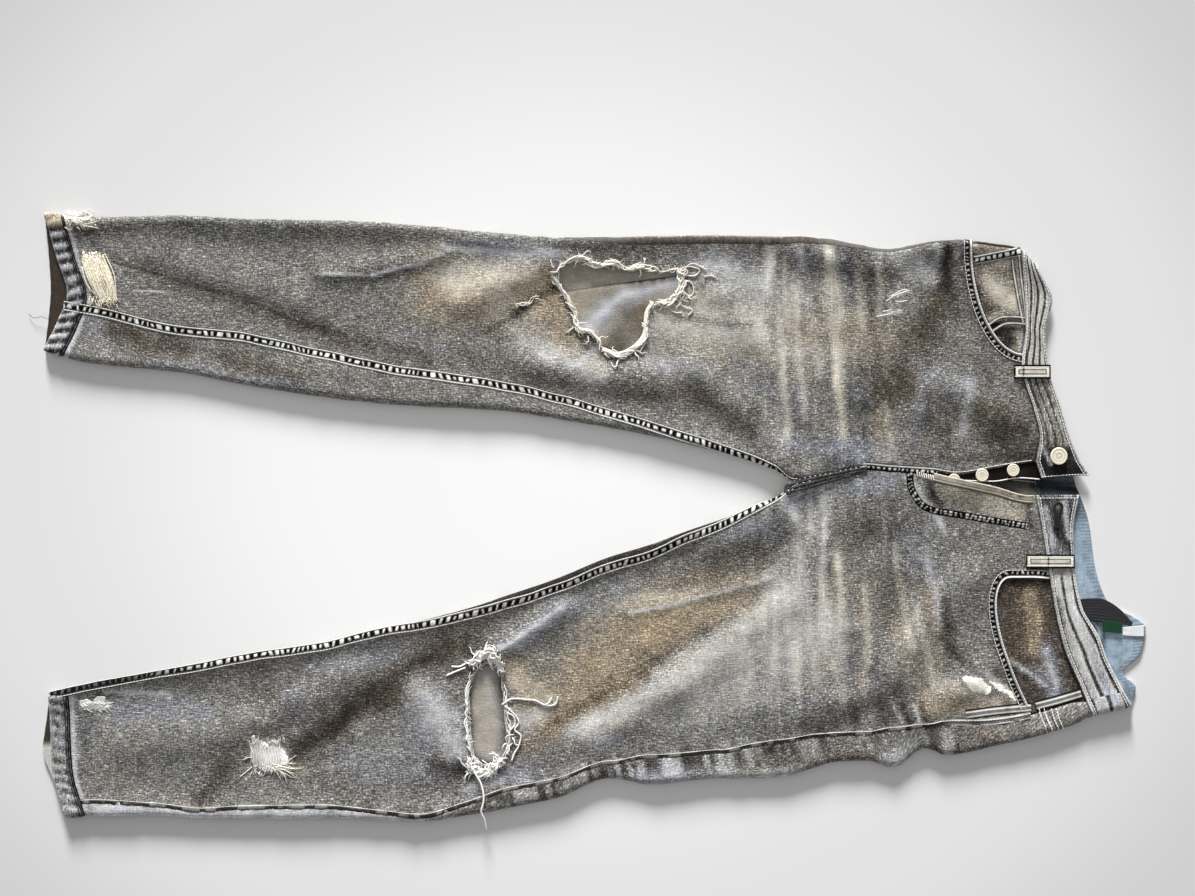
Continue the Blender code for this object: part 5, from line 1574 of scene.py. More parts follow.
ends = ragged(LEFT, LEFT_ENDS, 0.4, 0.6, knee_chance) + strands(LEFT, LEFT_THREADS, 1.2, 0.95)
tear("left", "knee_ends_left", [*ends, (walked(HANGING, 1.0), 1.0)], WHITE_THREAD)

# The ladder on the left shin: the weft yarns lie bare side by side across a worn patch, over its dark
# hollow, and a cream tail of them trails towards the knee.
RUNGS, RUNG_ENDS = 76, 46
LADDER_X, LADDER_Y, LADDER_LENGTH = -342, -236, 34
chance = np.random.default_rng(9)
ladder = []
for k in range(RUNGS):
    x0 = LADDER_X + LADDER_LENGTH * (k + chance.uniform(-0.3, 0.3)) / (RUNGS - 1)
    mid = LADDER_Y - 0.10 * k + 2 * np.sin(k / 7)
    reach = (13 if 6 < k < 66 else 8) + chance.uniform(-3.5, 4.5)
    t = np.linspace(-1, 1, 18)
    lean = chance.uniform(-1.2, 1.2) - 1.0
    path = np.stack([x0 + lean * t + 0.5 * np.sin(3 * t + k), mid + reach * t], axis=-1)
    ladder.append((lay(LEFT, path, 0.3 * (1 - t**2) + 0.2 + 0.2 * (k % 2)), 0.42 * (1.15 - 0.6 * np.abs(t))))
start_x = chance.uniform(-341, -308, RUNG_ENDS)
start_y = -240 + chance.choice((-12.0, 12.0), RUNG_ENDS) + chance.normal(0, 2, RUNG_ENDS)
ways = np.where(start_y > -240, np.pi / 2, -np.pi / 2) + chance.normal(0, 0.5, RUNG_ENDS)
starts = np.stack([start_x, start_y], axis=-1)
ladder += loose_yarns(LEFT, starts, ways, chance.uniform(4, 10, RUNG_ENDS), 0.3, 0.8, 190)
LADDER_THREADS = (((-341, -250), (-348, -256), (-353, -260)), ((-340, -240), (-346, -241), (-350, -243)))
tear("left", "shin_ladder_left", ladder + strands(LEFT, LADDER_THREADS, 0.7, 0.4), WHITE_THREAD)
tail = scattered(LEFT, 16, (-322, -308), (-253, -245), (-0.3, 0.25), (10, 26), chance, 0.5, 0.8, 192, curl=0.2)
tear("left", "shin_tail_left", tail, CREAM_THREAD)

# The right hem's burst fold: a thick hank of yellowed yarns that runs up from the hem's seam and frays
# out, white curls at the hem's outer corner, and one long hair at the ankle.
HANK_THREAD = thread_material("yellowed_thread", (252, 248, 234), (206, 188, 152), 2.0)
HANK_YARNS, LOCKS = 90, 9
hank = []
drop, bend = chance.uniform(-6, 6, LOCKS), chance.normal(1.5, 2.0, LOCKS)
for k in range(HANK_YARNS):
    lock = k % LOCKS
    u = (lock + 0.5) / LOCKS + chance.normal(0, 0.045)
    top = np.array([-511 + 22 * u, 258 - 2 * u + chance.normal(0, 3)])
    foot = np.array([-497 + 20 * u + chance.normal(0, 0.8), 220 - 4 * u + drop[lock] + chance.normal(0, 2)])
    middle = (top + foot) / 2 + np.array([bend[lock] + chance.normal(0, 0.8), chance.normal(0, 2)])
    path = walked((top, middle, foot), 1.6)
    s = np.linspace(0, 1, len(path))
    hank.append((lay(RIGHT, path, 0.4 + 1.8 * np.sin(np.pi * s) * chance.uniform(0.2, 1)), 0.7 * (1.1 - 0.4 * s)))
hank += scattered(RIGHT, 40, (-504, -476), (211, 220), (-1.3, 0.6), (4, 9), chance, 0.35, 1.2, 200)
hank += scattered(RIGHT, 18, (-509, -488), (252, 258), (1.7, 0.6), (3, 8), chance, 0.35, 1.2, 210)
hank += strands(RIGHT, [((-504, 254), (-508, 260), (-510, 266))], 0.8, 0.4)
tear("right", "hem_hank_right", hank, HANK_THREAD)
fray = scattered(RIGHT, 28, (-528, -500), (288, 299), (0.0, 0.9), (5, 11), chance, 0.5, 1.2, 220, curl=0.4)
CORNER = (((-528, 302), (-519, 299), (-508, 303), (-502, 298), (-508, 294)), ((-520, 294), (-508, 290), (-494, 287)),
          ((-512, 300), (-503, 305), (-498, 300), (-504, 297)))
tear("right", "hem_fray_right", fray + strands(RIGHT, CORNER, 1.0, 0.55), CREAM_THREAD)
HAIR = ((-546, 197, 5), (-552, 199, 4), (-560, 198, 2.5), (-565, 202, 1.2))
tear("right", "ankle_hair", [(walked(HAIR, 1.0), 0.25)], BLACK_THREAD)

# Small wear: white rubs by the left hem, a darned scar beside the right knee, white scuffs on the hip.
rub = scattered(LEFT, 60, (-511, -484), (-193, -185), (0.0, 0.5), (3, 8), chance, 0.5, 0.3, 230)
tear("left", "hem_rub_left", rub, WHITE_THREAD, sides=4)
SCAR = ((-79, 210), (-68, 213), (-54, 219))
tear("right", "scar_right", rim_yarns(RIGHT, walked(SCAR, 1.0), 4, 2.4, 0.7, 1.4, 240, 4), CREAM_THREAD)
SCUFFS = (((291, 214), (300, 220), (314, 225)), ((296, 219), (306, 225), (312, 226)),
          ((282, 199), (292, 201), (306, 205)), ((288, 204), (298, 206), (304, 206)),
          ((300, 214), (306, 214), (312, 215)))
tear("right", "hip_scuffs", strands(RIGHT, SCUFFS, 0.0, 0.55), WHITE_THREAD, squash=0.6)

BARE_WEFT = denim("bare_weft", contrast=0.9, slub=0.4, warm=0.0)
BARE_STEP, BARE_MARGIN = 0.95, 16


def bared(name, half, blobs, tone, edge, seed):
    """A patch where only the pale weft is left, flush on the front: the cells of a fine grid that lie within
    the blobs' widths of their lines, with a ragged edge."""
    rows = np.array(blobs, float)
    xs, ys = (np.arange(rows[:, ends].min() - BARE_MARGIN, rows[:, ends].max() + BARE_MARGIN, BARE_STEP)
              for ends in ((0, 2), (1, 3)))
    x, y = np.meshgrid(xs, ys, indexing="ij")
    inside = np.max([wide - from_line(x, y, x0, y0, x1, y1) for x0, y0, x1, y1, wide in blobs], axis=0)
    inside = inside + edge * (hills(x * 0.6, y * 0.25, 3, seed) + 0.7 * hills(x, y * 0.3, 1.4, seed + 1))
    points, _ = on_front(half, x, y, lift=0.12 + 0.2 * hills(x, y * 0.25, 2.0, seed + 2))
    shade = 1.02 + 0.12 * hills(x * 1.4, y * 0.2, 1.6, seed + 3)
    colour = to_linear(tone) * shade[..., None]
    keep = inside[:-1, :-1] > 0
    return grid_piece(name, points, {"wash": colour}, np.stack([x, y], axis=-1), (BARE_WEFT,), keep=keep, wall=0.3)


BARE_PATCHES = (
    ("left", "hip_wear_left", ((378, -168, 390, -173, 6.0), (372, -164, 384, -166, 4.0), (394, -166, 404, -172, 2.2),
                               (404, -172, 426, -185, 2.6)), (255, 253, 240), 1.5, 250),
    ("left", "hem_wear_left", ((-510, -187, -486, -190, 4.0), (-500, -184, -490, -184, 2.4)),
     (248, 248, 246), 1.8, 254),
    ("left", "ladder_ground_left", ((-331, -236, -319, -243, 11),), (250, 248, 242), 2.6, 258),
    ("right", "hem_wear_right", ((-524, 299, -508, 297, 4), (-510, 296, -498, 290, 1.6)), (246, 242, 232), 2.4, 262),
    ("right", "hank_ground_right", ((-500, 248, -487, 224, 6),), (206, 190, 156), 3.0, 266),
)
for side, name, *how in BARE_PATCHES:
    torn[side].append(bared(name, HALVES[side], *how))
for side, pieces in torn.items():
    for piece in pieces:
        belongs(piece, "pale_cotton" if piece.name != "ankle_hair" else "dark_denim")

# ---------------------------------------------------------------------------------------------------
# The front pockets. A facing of the same denim lies under each mouth, and the right one carries the small
# coin pocket. The mouths' edges are turned and sewn twice, so they are thick, roped and rubbed.

UNDER = -1.55  # from one layer's middle to the next one's
FACING_UNDER, COIN_UNDER, FACING_STEP = -2.0, -0.45, 1.8
FACINGS = {
    "right": {
        "from": 26 / 28, "reach": 0.56, "base": "stone",
        "wash": (("ash", ((420, 184, 427, 168, 6, 0.7),)),
                 ("dark", ((392, 196, 408, 172, 9, 1.0), (398, 186, 410, 184, 5, 1.0), (380, 262, 384, 210, 5, 0.8),
                           (398, 172, 424, 160, 3, 0.8))),
                 ("brown", ((390, 268, 424, 270, 5, 0.5), (402, 184, 412, 164, 10, 0.8))),
                 ("dark", ((396, 192, 408, 170, 8, 0.9), (402, 187, 424, 187, 3, 0.8)))),
    },
    "left": {
        "from": 25 / 28, "reach": 0.70, "base": "brown",
        "wash": (("slate", ((402, -90, 408, -150, 6, 0.8), (408, -150, 424, -176, 7, 0.6))),
                 ("brown", ((420, -66, 420, -120, 7, 0.75), (420, -120, 424, -146, 8, 0.7))),
                 ("tan", ((436, -76, 440, -130, 8, 0.75), (446, -130, 450, -150, 7, 0.4))),
                 ("blue", ((454, -130, 466, -178, 9, 0.75), (440, -156, 456, -178, 8, 0.5))),
                 ("pale", ((416, -144, 451, -169, 2.5, 0.6), (452, -136, 462, -170, 3, 0.5))),
                 ("dark", ((418, -150, 446, -176, 3, 0.6), (428, -70, 428, -120, 3, 0.4),
                           (408, -64, 452, -64, 4, 0.7)))),
    },
}
COIN_TOP, COIN_BOTTOM, COIN_END, COIN_SLANT, COIN_IN, COIN_RISE = 256.0, 191.0, 424.0, 0.1, 0.8, 7.0
# The brown and dark strokes are painted shadow on the coin pocket's cloth.
COIN_WASH_AND_SHADOW = (
    ("sand", ((398, 222, 418, 214, 10, 0.8), (402, 204, 424, 206, 5, 0.4), (396, 248, 416, 250, 3, 0.5))),
    ("brown", (
        (396, 246, 412, 240, 7, 0.5), (386, 226, 396, 206, 6, 0.8), (382, 250, 384, 226, 5, 0.7),
        (406, 204, 420, 199, 4, 0.5),
    )),
    ("dark", (
        (380, 254, 424, 261, 4, 0.6), (384, 222, 392, 204, 4, 0.8), (388, 206, 402, 208, 3, 0.5),
        (416, 256, 426, 200, 2.5, 0.7),
    )),
)
pocket_pieces = {"right": [], "left": []}


def lining_piece(name, side, station, reach, lift, strokes, seed, base, outline=None):
    """A piece right under the front, made from the front's own places and moved in, and cut to an outline
    where one is given. It runs from a station to the waist and from the outer seam to a place w."""
    half = HALVES[side]
    stations = np.linspace(station, 1, int((1 - station) * LEG_LENGTH / FACING_STEP))
    x, w, length = panel_places(half, stations, FACING_STEP, "front")
    columns = int(np.argmax(w[-1] > reach)) + 1
    x, w, length = x[:, :columns], w[:, :columns], length[:, :columns]
    keep = None
    if outline is not None:
        x, w, keep = cut_out(half, x, w, outline, keep_inside=True)
    points, _ = surface(half, x, w, lift=lift)
    colours = {"wash": brushed(x, points[..., 1], strokes, seed, base), "lining": to_linear((96, 90, 82))}
    piece = grid_piece(name + "_cloth", points, colours, weave_of(half, x, length), (WASHED, UNDERSIDE),
                       flip=half is RIGHT, keep=keep)
    cut(name, cloth(half, x, w), keep)
    return belongs(piece, "grey_denim", name)


facings = {}
for side, made in FACINGS.items():
    facings[side] = lining_piece("pocket_facing_" + side, side, made["from"], made["reach"], FACING_UNDER,
                                 made["wash"], 300, made["base"])

coin_y = np.linspace(COIN_TOP, COIN_BOTTOM, 24)
coin_outline = [*np.stack([right_mouth(coin_y) + COIN_IN, coin_y], axis=1),
                (408, 196), (COIN_END + (COIN_TOP - COIN_BOTTOM) * COIN_SLANT, 198), (COIN_END, COIN_TOP + COIN_RISE)]
coin = lining_piece("coin_pocket", "right", FACINGS["right"]["from"], FACINGS["right"]["reach"], COIN_UNDER,
                    COIN_WASH_AND_SHADOW, 310, "stone", coin_outline)


def stitches_along(name, half, corners, lift, finish, pitch=STITCH_PITCH, radius=STITCH_RADIUS, size=STITCH_LENGTH):
    """Stitches along a flat line laid on the front."""
    path = walked(corners, 0.8)
    points, normals = on_front(half, path[:, 0], path[:, 1], lift=lift)
    return stitches_on(name, points, normals, finish, pitch, radius, size)


def roped_edge(along, across, x, y):
    """A pocket mouth: its rolled white edge, then a black trough with rubbed bars across it, then the
    second row's black line."""
    bars = worn_blocks(along + 3, across - 5.6, 4.6, 1.8, 320, (0.55, 0.8))
    lift = 0.55 + 0.6 * bell(across - 0.8, 1.1) + 0.45 * bars - 0.25 * bell(across - 8.0, 0.9)
    lift = lift - 0.5 * ease(across - 8.2) - 1.4 * bell(across, 0.35)
    white = 1.1 * bell(across - 1.2, 1.0) + 0.75 * bars * (0.75 + 0.35 * hills(x, y, 2.5, 321))
    white = np.clip(white + 0.3 * bell(across - 9.4, 0.6), 0, 1)
    return lift, toned(SEAM_BLACK, SEAM_WHITE * 0.95, white)


MOUTH_STEP = 0.8
right_path = walked(MOUTH_RIGHT[::3], MOUTH_STEP)
left_path = walked([(454, -63), (440, -62), (424, -62), *MOUTH_LEFT[::3]], MOUTH_STEP)
for side, path in (("right", right_path), ("left", left_path)):
    half = HALVES[side]
    inwards = aside_of(path)[len(path) // 2]
    path = path if inwards[0] < 0 else path[::-1]
    rim = strip_piece("pocket_mouth_" + side, half, path, (0.0, 9.8), 17, roped_edge, WORN_SEAM, "dark_denim")
    pocket_pieces[side].append(rim)
    for k, (aside, lift) in enumerate(((1.0, 1.15), (8.0, 0.5))):
        row = stitches_along(f"mouth_stitches_{side}_{k}", half, path + aside * aside_of(path), lift, WHITE_THREAD)
        pocket_pieces[side].append(belongs(row, "pale_cotton"))


def pocket_hem(along, across, x, y):
    """The coin pocket's turned edge: a black band between two thin pale lines, with rubbed blocks on it."""
    bars = worn_blocks(along, across, 6.0, 1.7, 324, (0.35, 0.6))
    white = np.clip(0.9 * bars + 0.8 * bell(np.abs(across) - 3.6, 0.5), 0, 1)
    return 0.35 + 0.2 * bars - 0.02 * across**2, toned(SEAM_BLACK, SEAM_WHITE * 0.95, white)


def piped(along, across, x, y):
    """One raised pale row between two dark grooves."""
    white = np.clip(0.95 * bell(across, 0.75) * (0.85 + 0.3 * hills(x, y, 5, 325)), 0, 1)
    return 0.3 * bell(across, 1.0), toned(SEAM_BLACK * 1.5, SEAM_WHITE, white)


ON_COIN = LIE + COIN_UNDER + 0.2
COIN_LINES = (
    ("top", ((379.5, 255), (400, 259), (425, 263.6)), 4.2, pocket_hem),
    ("side_in", ((417, 256), (420, 236), (425, 208), (428.5, 192)), 1.7, piped),
    ("side_out", ((423.5, 260), (426.5, 236), (430, 206), (431, 190)), 1.7, piped),
    ("foot_in", ((391, 189), (404, 197.5), (416, 199), (430, 198)), 1.7, piped),
    ("foot_out", ((395, 183), (408, 191), (418, 192.6), (430.5, 191.5)), 1.6, piped),
)
for name, line, reach, shape in COIN_LINES:
    columns = 13 if name == "top" else 9
    piece = strip_piece("coin_" + name, RIGHT, walked(line, 0.7), (-reach, reach), columns, shape, WORN_SEAM,
                        "pale_cotton", lie=ON_COIN)
    pocket_pieces["right"].append(piece)

# ---------------------------------------------------------------------------------------------------
# The fly. The left front's edge is turned into a buttonhole placket, which the J of double stitching holds
# down; the right front's carries the dark shield with the buttons. Black felled seams meet at the crotch.

SHIELD_EDGE = table("x y", (340, 36), (398, 33.5), (424, 37), (450, 35))
SHIELD_LAP = 11.0
x = np.linspace(346, 446, 90)[:, None]
low = smooth(x, SHIELD_EDGE["x"], SHIELD_EDGE["y"])
y = low + (column(RIGHT, "inner", x) + SHIELD_LAP - low) * np.linspace(0, 1, 18)[None, :]
x = x + 0 * y
points, _ = on_front(RIGHT, x, y, lift=UNDER)
colour = brushed(x, y, (("slate", ((370, 40, 430, 44, 6, 0.15),)),), 330, "dark") * 0.6
shield = grid_piece("fly_shield_cloth", points, {"wash": colour}, np.stack([x, y], axis=-1), (WORN_SEAM,))
belongs(shield, "dark_denim", "fly_shield")
cut("fly_shield", points)
fly_pieces = []
edge_x = np.linspace(347, 445, 40)
edge = np.stack([edge_x, smooth(edge_x, SHIELD_EDGE["x"], SHIELD_EDGE["y"]) + 1.2], axis=-1)
points, _ = on_front(RIGHT, edge[:, 0], edge[:, 1], lift=UNDER + 0.3)
fly_pieces.append(yarn_piece("shield_edge_cord", [(points, 0.62)], WHITE_THREAD, squash=0.7))
inner_x = np.linspace(342, 436, 50)
inner_line = np.stack([inner_x, column(RIGHT, "inner", inner_x) + 2.0], axis=-1)
fly_pieces.append(stitches_along("fly_edge_stitches", RIGHT, inner_line, 0.25, WHITE_THREAD, pitch=3.0))


def seam_ticks(along, across, x, y):
    """A narrow black seam with small rubbed ticks and a thin pale line along its upper edge."""
    ticks = worn_blocks(along, across + 0.6, 4.4, 1.3, 340)
    white = np.clip(0.8 * ticks + 0.75 * bell(across - 2.6, 0.5), 0, 1)
    return 0.75 - 0.06 * across**2 + 0.25 * ticks, toned(SEAM_BLACK, SEAM_WHITE * 0.85, white)


def placket(along, across, x, y):
    """The placket's edge: two pale rubbed ridges over its rows of stitching, tan cloth between them."""
    lines = 0.9 * bell(across - 0.8, 0.7) + 0.75 * bell(across - 6.6, 0.6)
    black = np.clip(0.8 * bell(across - 5.4, 0.5) + 0.7 * bell(across - 8.0, 0.6), 0, 1)
    between = TONES["stone"] * (0.95 + 0.25 * hills(x, y, 4, 341))[..., None]
    colour = toned(between, to_linear((218, 208, 186)), np.clip(lines, 0, 1))
    return 0.5 + 0.35 * lines - 0.4 * ease(across - 7.6), toned(colour, SEAM_BLACK, black)


def double_row(along, across, x, y):
    """Two rows of stitching sewn close: a black groove between pale bars."""
    bars = worn_blocks(along, across, 4.6, 2.6, 342)
    white = np.clip(0.85 * bars * bell(np.abs(across) - 1.6, 1.1), 0, 1)
    return 0.45 - 0.035 * across**2 + 0.3 * bars, toned(SEAM_BLACK, SEAM_WHITE * 0.9, white)


seam_x = np.linspace(266, 342, 90)
centre = np.stack([seam_x, column(RIGHT, "inner", seam_x) - 0.4], axis=-1)
fly_pieces.append(strip_piece("centre_front_seam", LEFT, centre, (-4.2, 4.2), 13, seam_ticks, WORN_SEAM, "dark_denim"))
placket_x = np.linspace(339, 438, 120)
placket_path = np.stack([placket_x, column(LEFT, "inner", placket_x)], axis=-1)[::-1]
fly_pieces.append(strip_piece("fly_placket", LEFT, placket_path, (0.2, 9.0), 15, placket, WORN_SEAM, "grey_denim"))
J_STITCH = ((315, 44), (316, 30), (321, 19), (328, 11), (338, 6), (358, 2.5), (384, -2), (408, -6), (432, -10))
fly_pieces.append(strip_piece("fly_j_stitch", LEFT, walked(J_STITCH, 0.8), (-4.2, 4.2), 13, double_row, WORN_SEAM,
                              "dark_denim"))
TACK = [(lay(LEFT, walked(((322 + k * 2.2, 44.5 - k * 0.5), (323 + k * 2.2, 39.5 - k * 0.6)), 1.0), 0.9), 0.5)
        for k in range(8)]
fly_pieces.append(yarn_piece("fly_bar_tack", TACK, CREAM_THREAD, squash=0.7))
KNOT = (
    ((194, 30), (206, 34), (222, 38), (246, 43.5), (272, 48.5)),
    ((195, 27), (208, 31), (224, 35.5), (248, 41), (272, 46)),
    ((195, 24), (210, 28), (226, 32.5), (248, 38.5), (268, 43.5)),
    ((194, 31.5), (191.5, 28.5), (192, 24.5), (196, 22.5)),
)
ropes = []
for k, corners in enumerate(KNOT):
    path = walked(corners, 1.2)
    points, _ = on_front(LEFT, path[:, 0], path[:, 1], rough=0.5)
    points[:, 2] += 1.2 + 0.5 * hills(np.arange(len(path)) * 1.2, np.full(len(path), 9.0 * k), 6, 350)
    ropes.append((points, 1.8 * np.sin(np.pi * np.linspace(0.14, 0.9, len(path))) ** 0.5))
BLACK_CORD = thread_material("black_felled_seam", (70, 68, 68), (10, 9, 9), 2.2)
fly_pieces.append(yarn_piece("crotch_seams", ropes, BLACK_CORD, sides=8, squash=0.7))
for k, corners in enumerate(KNOT[:3]):
    line = [(px, py + 1.6) for px, py in corners]
    row = stitches_along(f"crotch_stitches_{k}", LEFT, line, 1.3, WHITE_THREAD, pitch=5.2 + k, size=1.9, radius=0.34)
    fly_pieces.append(row)
for piece in fly_pieces:
    belongs(piece, "dark_denim" if piece.name.startswith("crotch_seams") else "pale_cotton")

# The buttons are turned shanks of pale brass: a rolled rim, a groove, a low dome with a darker eye. The
# three on the shield stand through beside the front's edge, the large one on the waistband's end.

BUTTONS = table("x y radius disc base stem", (418, 46, 6.3, 2.0, 4.65, 2.1), (387, 41, 6.5, 2.0, 4.65, 2.1),
                (359, 36, 6.3, 1.5, 4.65, 2.1), (463, 60, 8.6, 2.6, 8.1, 1.4))
BUTTON_NAMES = ("fly_button_1", "fly_button_2", "fly_button_3", "waist_button")
# tone: how light the brass is painted at each ring, darker in the groove and the eye; the darkest rings, on the
# underside and the stem, are painted shade.
TURNED = table(
    "radius height tone",
    (0.00, 0.00, 0.6),
    (0.42, 0.00, 0.6),
    (0.38, 0.05, 0.5),
    (0.36, 1.00, 0.4),
    (0.88, 1.03, 0.5),
    (0.97, 1.20, 0.8),
    (1.00, 1.50, 1.0),
    (0.97, 1.82, 1.05),
    (0.90, 1.98, 1.08),
    (0.82, 1.96, 0.95),
    (0.76, 1.88, 0.75),
    (0.70, 1.84, 0.68),
    (0.64, 1.86, 0.9),
    (0.52, 1.90, 1.0),
    (0.42, 1.90, 0.95),
    (0.36, 1.85, 0.65),
    (0.30, 1.82, 0.6),
    (0.20, 1.85, 0.85),
    (0.08, 1.87, 0.9),
    (0.00, 1.87, 0.9),
)
pale_brass, tree, shader = fresh_material("pale_brass", 0.38)
tone = node(tree, "Attribute", attribute_name="wash").outputs["Color"]
place = node(tree, "TexCoord").outputs["Object"]
spots = node(tree, "TexNoise", {"Vector": place, "Scale": 700.0, "Detail": 3.0}).outputs["Fac"]
spots = node(tree, "MapRange", {0: spots, 1: 0.3, 2: 0.7, 3: 0.78, 4: 1.12}).outputs[0]
tree.links.new(node(tree, "VectorMath", {0: tone, 3: spots}, operation="SCALE").outputs[0], shader.inputs["Base Color"])
shader.inputs["Metallic"].default_value = 0.3
bump = node(tree, "Bump", {"Height": spots, "Strength": 0.3, "Distance": 0.0002})
tree.links.new(bump.outputs[0], shader.inputs["Normal"])
turn = np.linspace(0, 2 * np.pi, 48, endpoint=False)[None, :]
rings, tall, tones = (TURNED[key][1:-1, None] for key in ("radius", "height", "tone"))
tones = (tones + 0 * turn)[..., None] * to_linear((248, 240, 216))
for name, x0, y0, radius, disc, base, stem in zip(BUTTON_NAMES, *BUTTONS.values(), strict=True):
    z = base + np.minimum(tall, 1) * stem + np.maximum(tall - 1, 0) * disc
    points = np.stack([x0 + radius * rings * np.cos(turn), y0 + radius * rings * np.sin(turn), z + 0 * turn], axis=-1)
    button = grid_piece(name + "_brass", points, {"wash": tones}, points[..., :2], (pale_brass,), flip=True,
                        seated=True)
    belongs(button, "pale_brass", name)

# ---------------------------------------------------------------------------------------------------
# The waistband: a doubled band all the way round, pale blue inside, sewn to every panel along its lower
# edge. Its right end runs on under the left as the button end; the left end has the keyhole.

BAND_LIE, BAND_WIDTH, BAND_ROWS, BAND_STEP = LIE + 1.2, 34.0, 34, 1.5
UNDERLAP, UNDERLAP_X, UNDERLAP_DEPTH, UNDERLAP_COLUMNS = 0.085, 446.0, 48.0, 15
BAND_BLUE, BAND_SHADE, BAND_GROOVE = to_linear((152, 169, 184)), to_linear((70, 84, 96)), to_linear((48, 58, 66))
# The dark strokes at the band's two ends are painted shade, and the short pale ones beside the keyhole and at the
# button end are painted highlights; the rest are the band's wash.
BAND_WASH_AND_SHADE = (
    ("stone", ((440, 262, 452, 84, 30, 0.85),)),
    ("ash", ((450, -60, 494, -190, 30, 0.5),)),
    ("slate", ((440, 250, 448, 160, 16, 0.3), (470, -90, 490, -180, 14, 0.3), (450, 16, 470, -30, 12, 0.8))),
    ("ash", ((444, 250, 452, 200, 10, 0.6), (474, -70, 492, -150, 12, 0.8), (462, -60, 476, -110, 9, 0.6))),
    ("stone", ((436, 240, 440, 160, 10, 0.6), (446, 118, 466, 70, 9, 0.4), (466, -120, 476, -170, 7, 0.5))),
    ("pale", (
        (478, -80, 494, -150, 5, 0.6), (468, 14, 472, -6, 3, 0.8), (446, -4, 450, -26, 3, 0.7),
        (456, -22, 466, -32, 2.5, 0.6), (444, 66, 450, 56, 4, 0.5),
    )),
    ("grey", ((444, 130, 454, 80, 16, 0.6),)),
    ("brown", ((440, 126, 448, 76, 9, 0.7), (462, 20, 466, -8, 4, 0.5))),
    ("dark", (
        (446, 64, 470, 60, 15, 1.0), (448, 46, 486, 40, 16, 1.0), (440, 232, 441, 180, 3, 0.6),
        (438, 26, 445, -36, 3.5, 0.9), (474, 16, 476, -34, 3.5, 0.8), (448, 22, 470, -30, 15, 0.6),
        (456, -84, 481, -174, 1.6, 0.9), (463, -84, 466, -109, 4, 0.8), (450, 134, 456, 110, 2, 0.7),
        (456, 110, 463, 70, 2, 0.7),
    )),
)


def rucks(e, run, height, folds, seed):
    """Folds that run along the band where it has rucked up, and the distance from the troughs between them:
    the sine of a count across the band that wanders along it, raised to make the tops broad."""
    wander = e * folds + 0.34 * hills(run, e * 8, 60, seed) + 0.10 * hills(run, e * 14, 18, seed + 1)
    groove = np.abs(np.mod(wander + 0.5, 1.0) - 0.5) * BAND_WIDTH / folds
    return height * (np.abs(np.sin(np.pi * wander)) ** 0.6 - 0.6), groove


e = np.linspace(0, 1, BAND_ROWS)[:, None]
stretches = []
for side, panel, folds, seed in (("right", "front", 4.2, 400), ("right", "back", 4.2, 400),
                                 ("left", "back", 2.3, 410), ("left", "front", 2.3, 410)):
    half = HALVES[side]
    _, (w,), (length,) = panel_places(half, np.array([1.0]), BAND_STEP, panel)
    if side == "right":
        w, length = w[::-1], length[::-1]
    x = (lined_up(half, "waist", "", w) + SEAM_GAP) * (1 - e) + lined_up(half, "waist", "_top", w) * e
    w, length = np.broadcast_to(w, x.shape), np.broadcast_to(length, x.shape)
    y, top = cloth(half, x, w)[..., 1], on_top(w)
    height = np.where(top, 0.85, 0.5) * (1.1 if side == "right" else 0.9) * (1 - 0.6 * bell(y - 20, 40) * top)
    raised, groove = rucks(e, length, height, folds, seed)
    raised = np.where(top, raised, -0.3) * np.sin(np.pi * e) ** 0.3
    points, normals = surface(half, x, w, lift=DOUBLED + raised, lie=BAND_LIE, bottom=DOUBLE_WALL / 2,
                              rough=0.5 * top)
    stretches.append({"points": points, "normals": normals, "groove": groove, "x": x, "y": y, "length": length,
                      "top": top, "right": np.full(x.shape, side == "right")})
    if len(stretches) == 1:
        end_w = w[0, 0]
end_x = UNDERLAP_X + UNDERLAP_DEPTH * e
end_points, end_normals = surface(RIGHT, end_x, np.full_like(end_x, end_w), lift=DOUBLED, lie=BAND_LIE,
                                  bottom=DOUBLE_WALL / 2, rough=0.0, beyond=UNDERLAP)
t = np.linspace(1, 0, UNDERLAP_COLUMNS, endpoint=False)[None, :, None]
lap = stretches[0]["points"][:, :1] * (1 - t) + end_points * t
everywhere = np.ones(lap.shape[:2], bool)
stretches.insert(0, {"points": lap, "normals": np.broadcast_to(end_normals, lap.shape), "groove": 9.0 * everywhere,
                     "x": lap[..., 0], "y": lap[..., 1], "length": lap[..., 1], "top": everywhere,
                     "right": everywhere})
band = {key: np.concatenate([piece[key] for piece in stretches], axis=1) for key in stretches[0]}
x, y, length, groove, top, right = (band[key] for key in ("x", "y", "length", "groove", "top", "right"))
e = np.broadcast_to(e, x.shape)


def streak(x0, y0, x1, y1, width):
    """A bell across one straight stretch, at each of the band's points."""
    return bell(from_line(band["x"], band["y"], x0, y0, x1, y1), width)


# Outside: painted light across the rucks, black shade in their troughs, darker near them and lighter on their tops,
# with a white painted highlight beside each trough; a worn edge and a stitched groove at each side.
showing = np.where(top, 1.0, 0.25) * np.where(right & (y < 70), 0.0, 1.0)
showing = showing * np.where(~right & (y > -60), 0.15, 1.0) * np.where(right & (y < 134), 0.45, 1.0)
black = np.clip(1.3 * showing * bell(groove, np.where(right, 1.3, 1.9)), 0, 1)
white = showing * bell(groove - 2.6, 1.0) * (0.8 + 0.4 * hills(length, 0 * y, 22, 425))
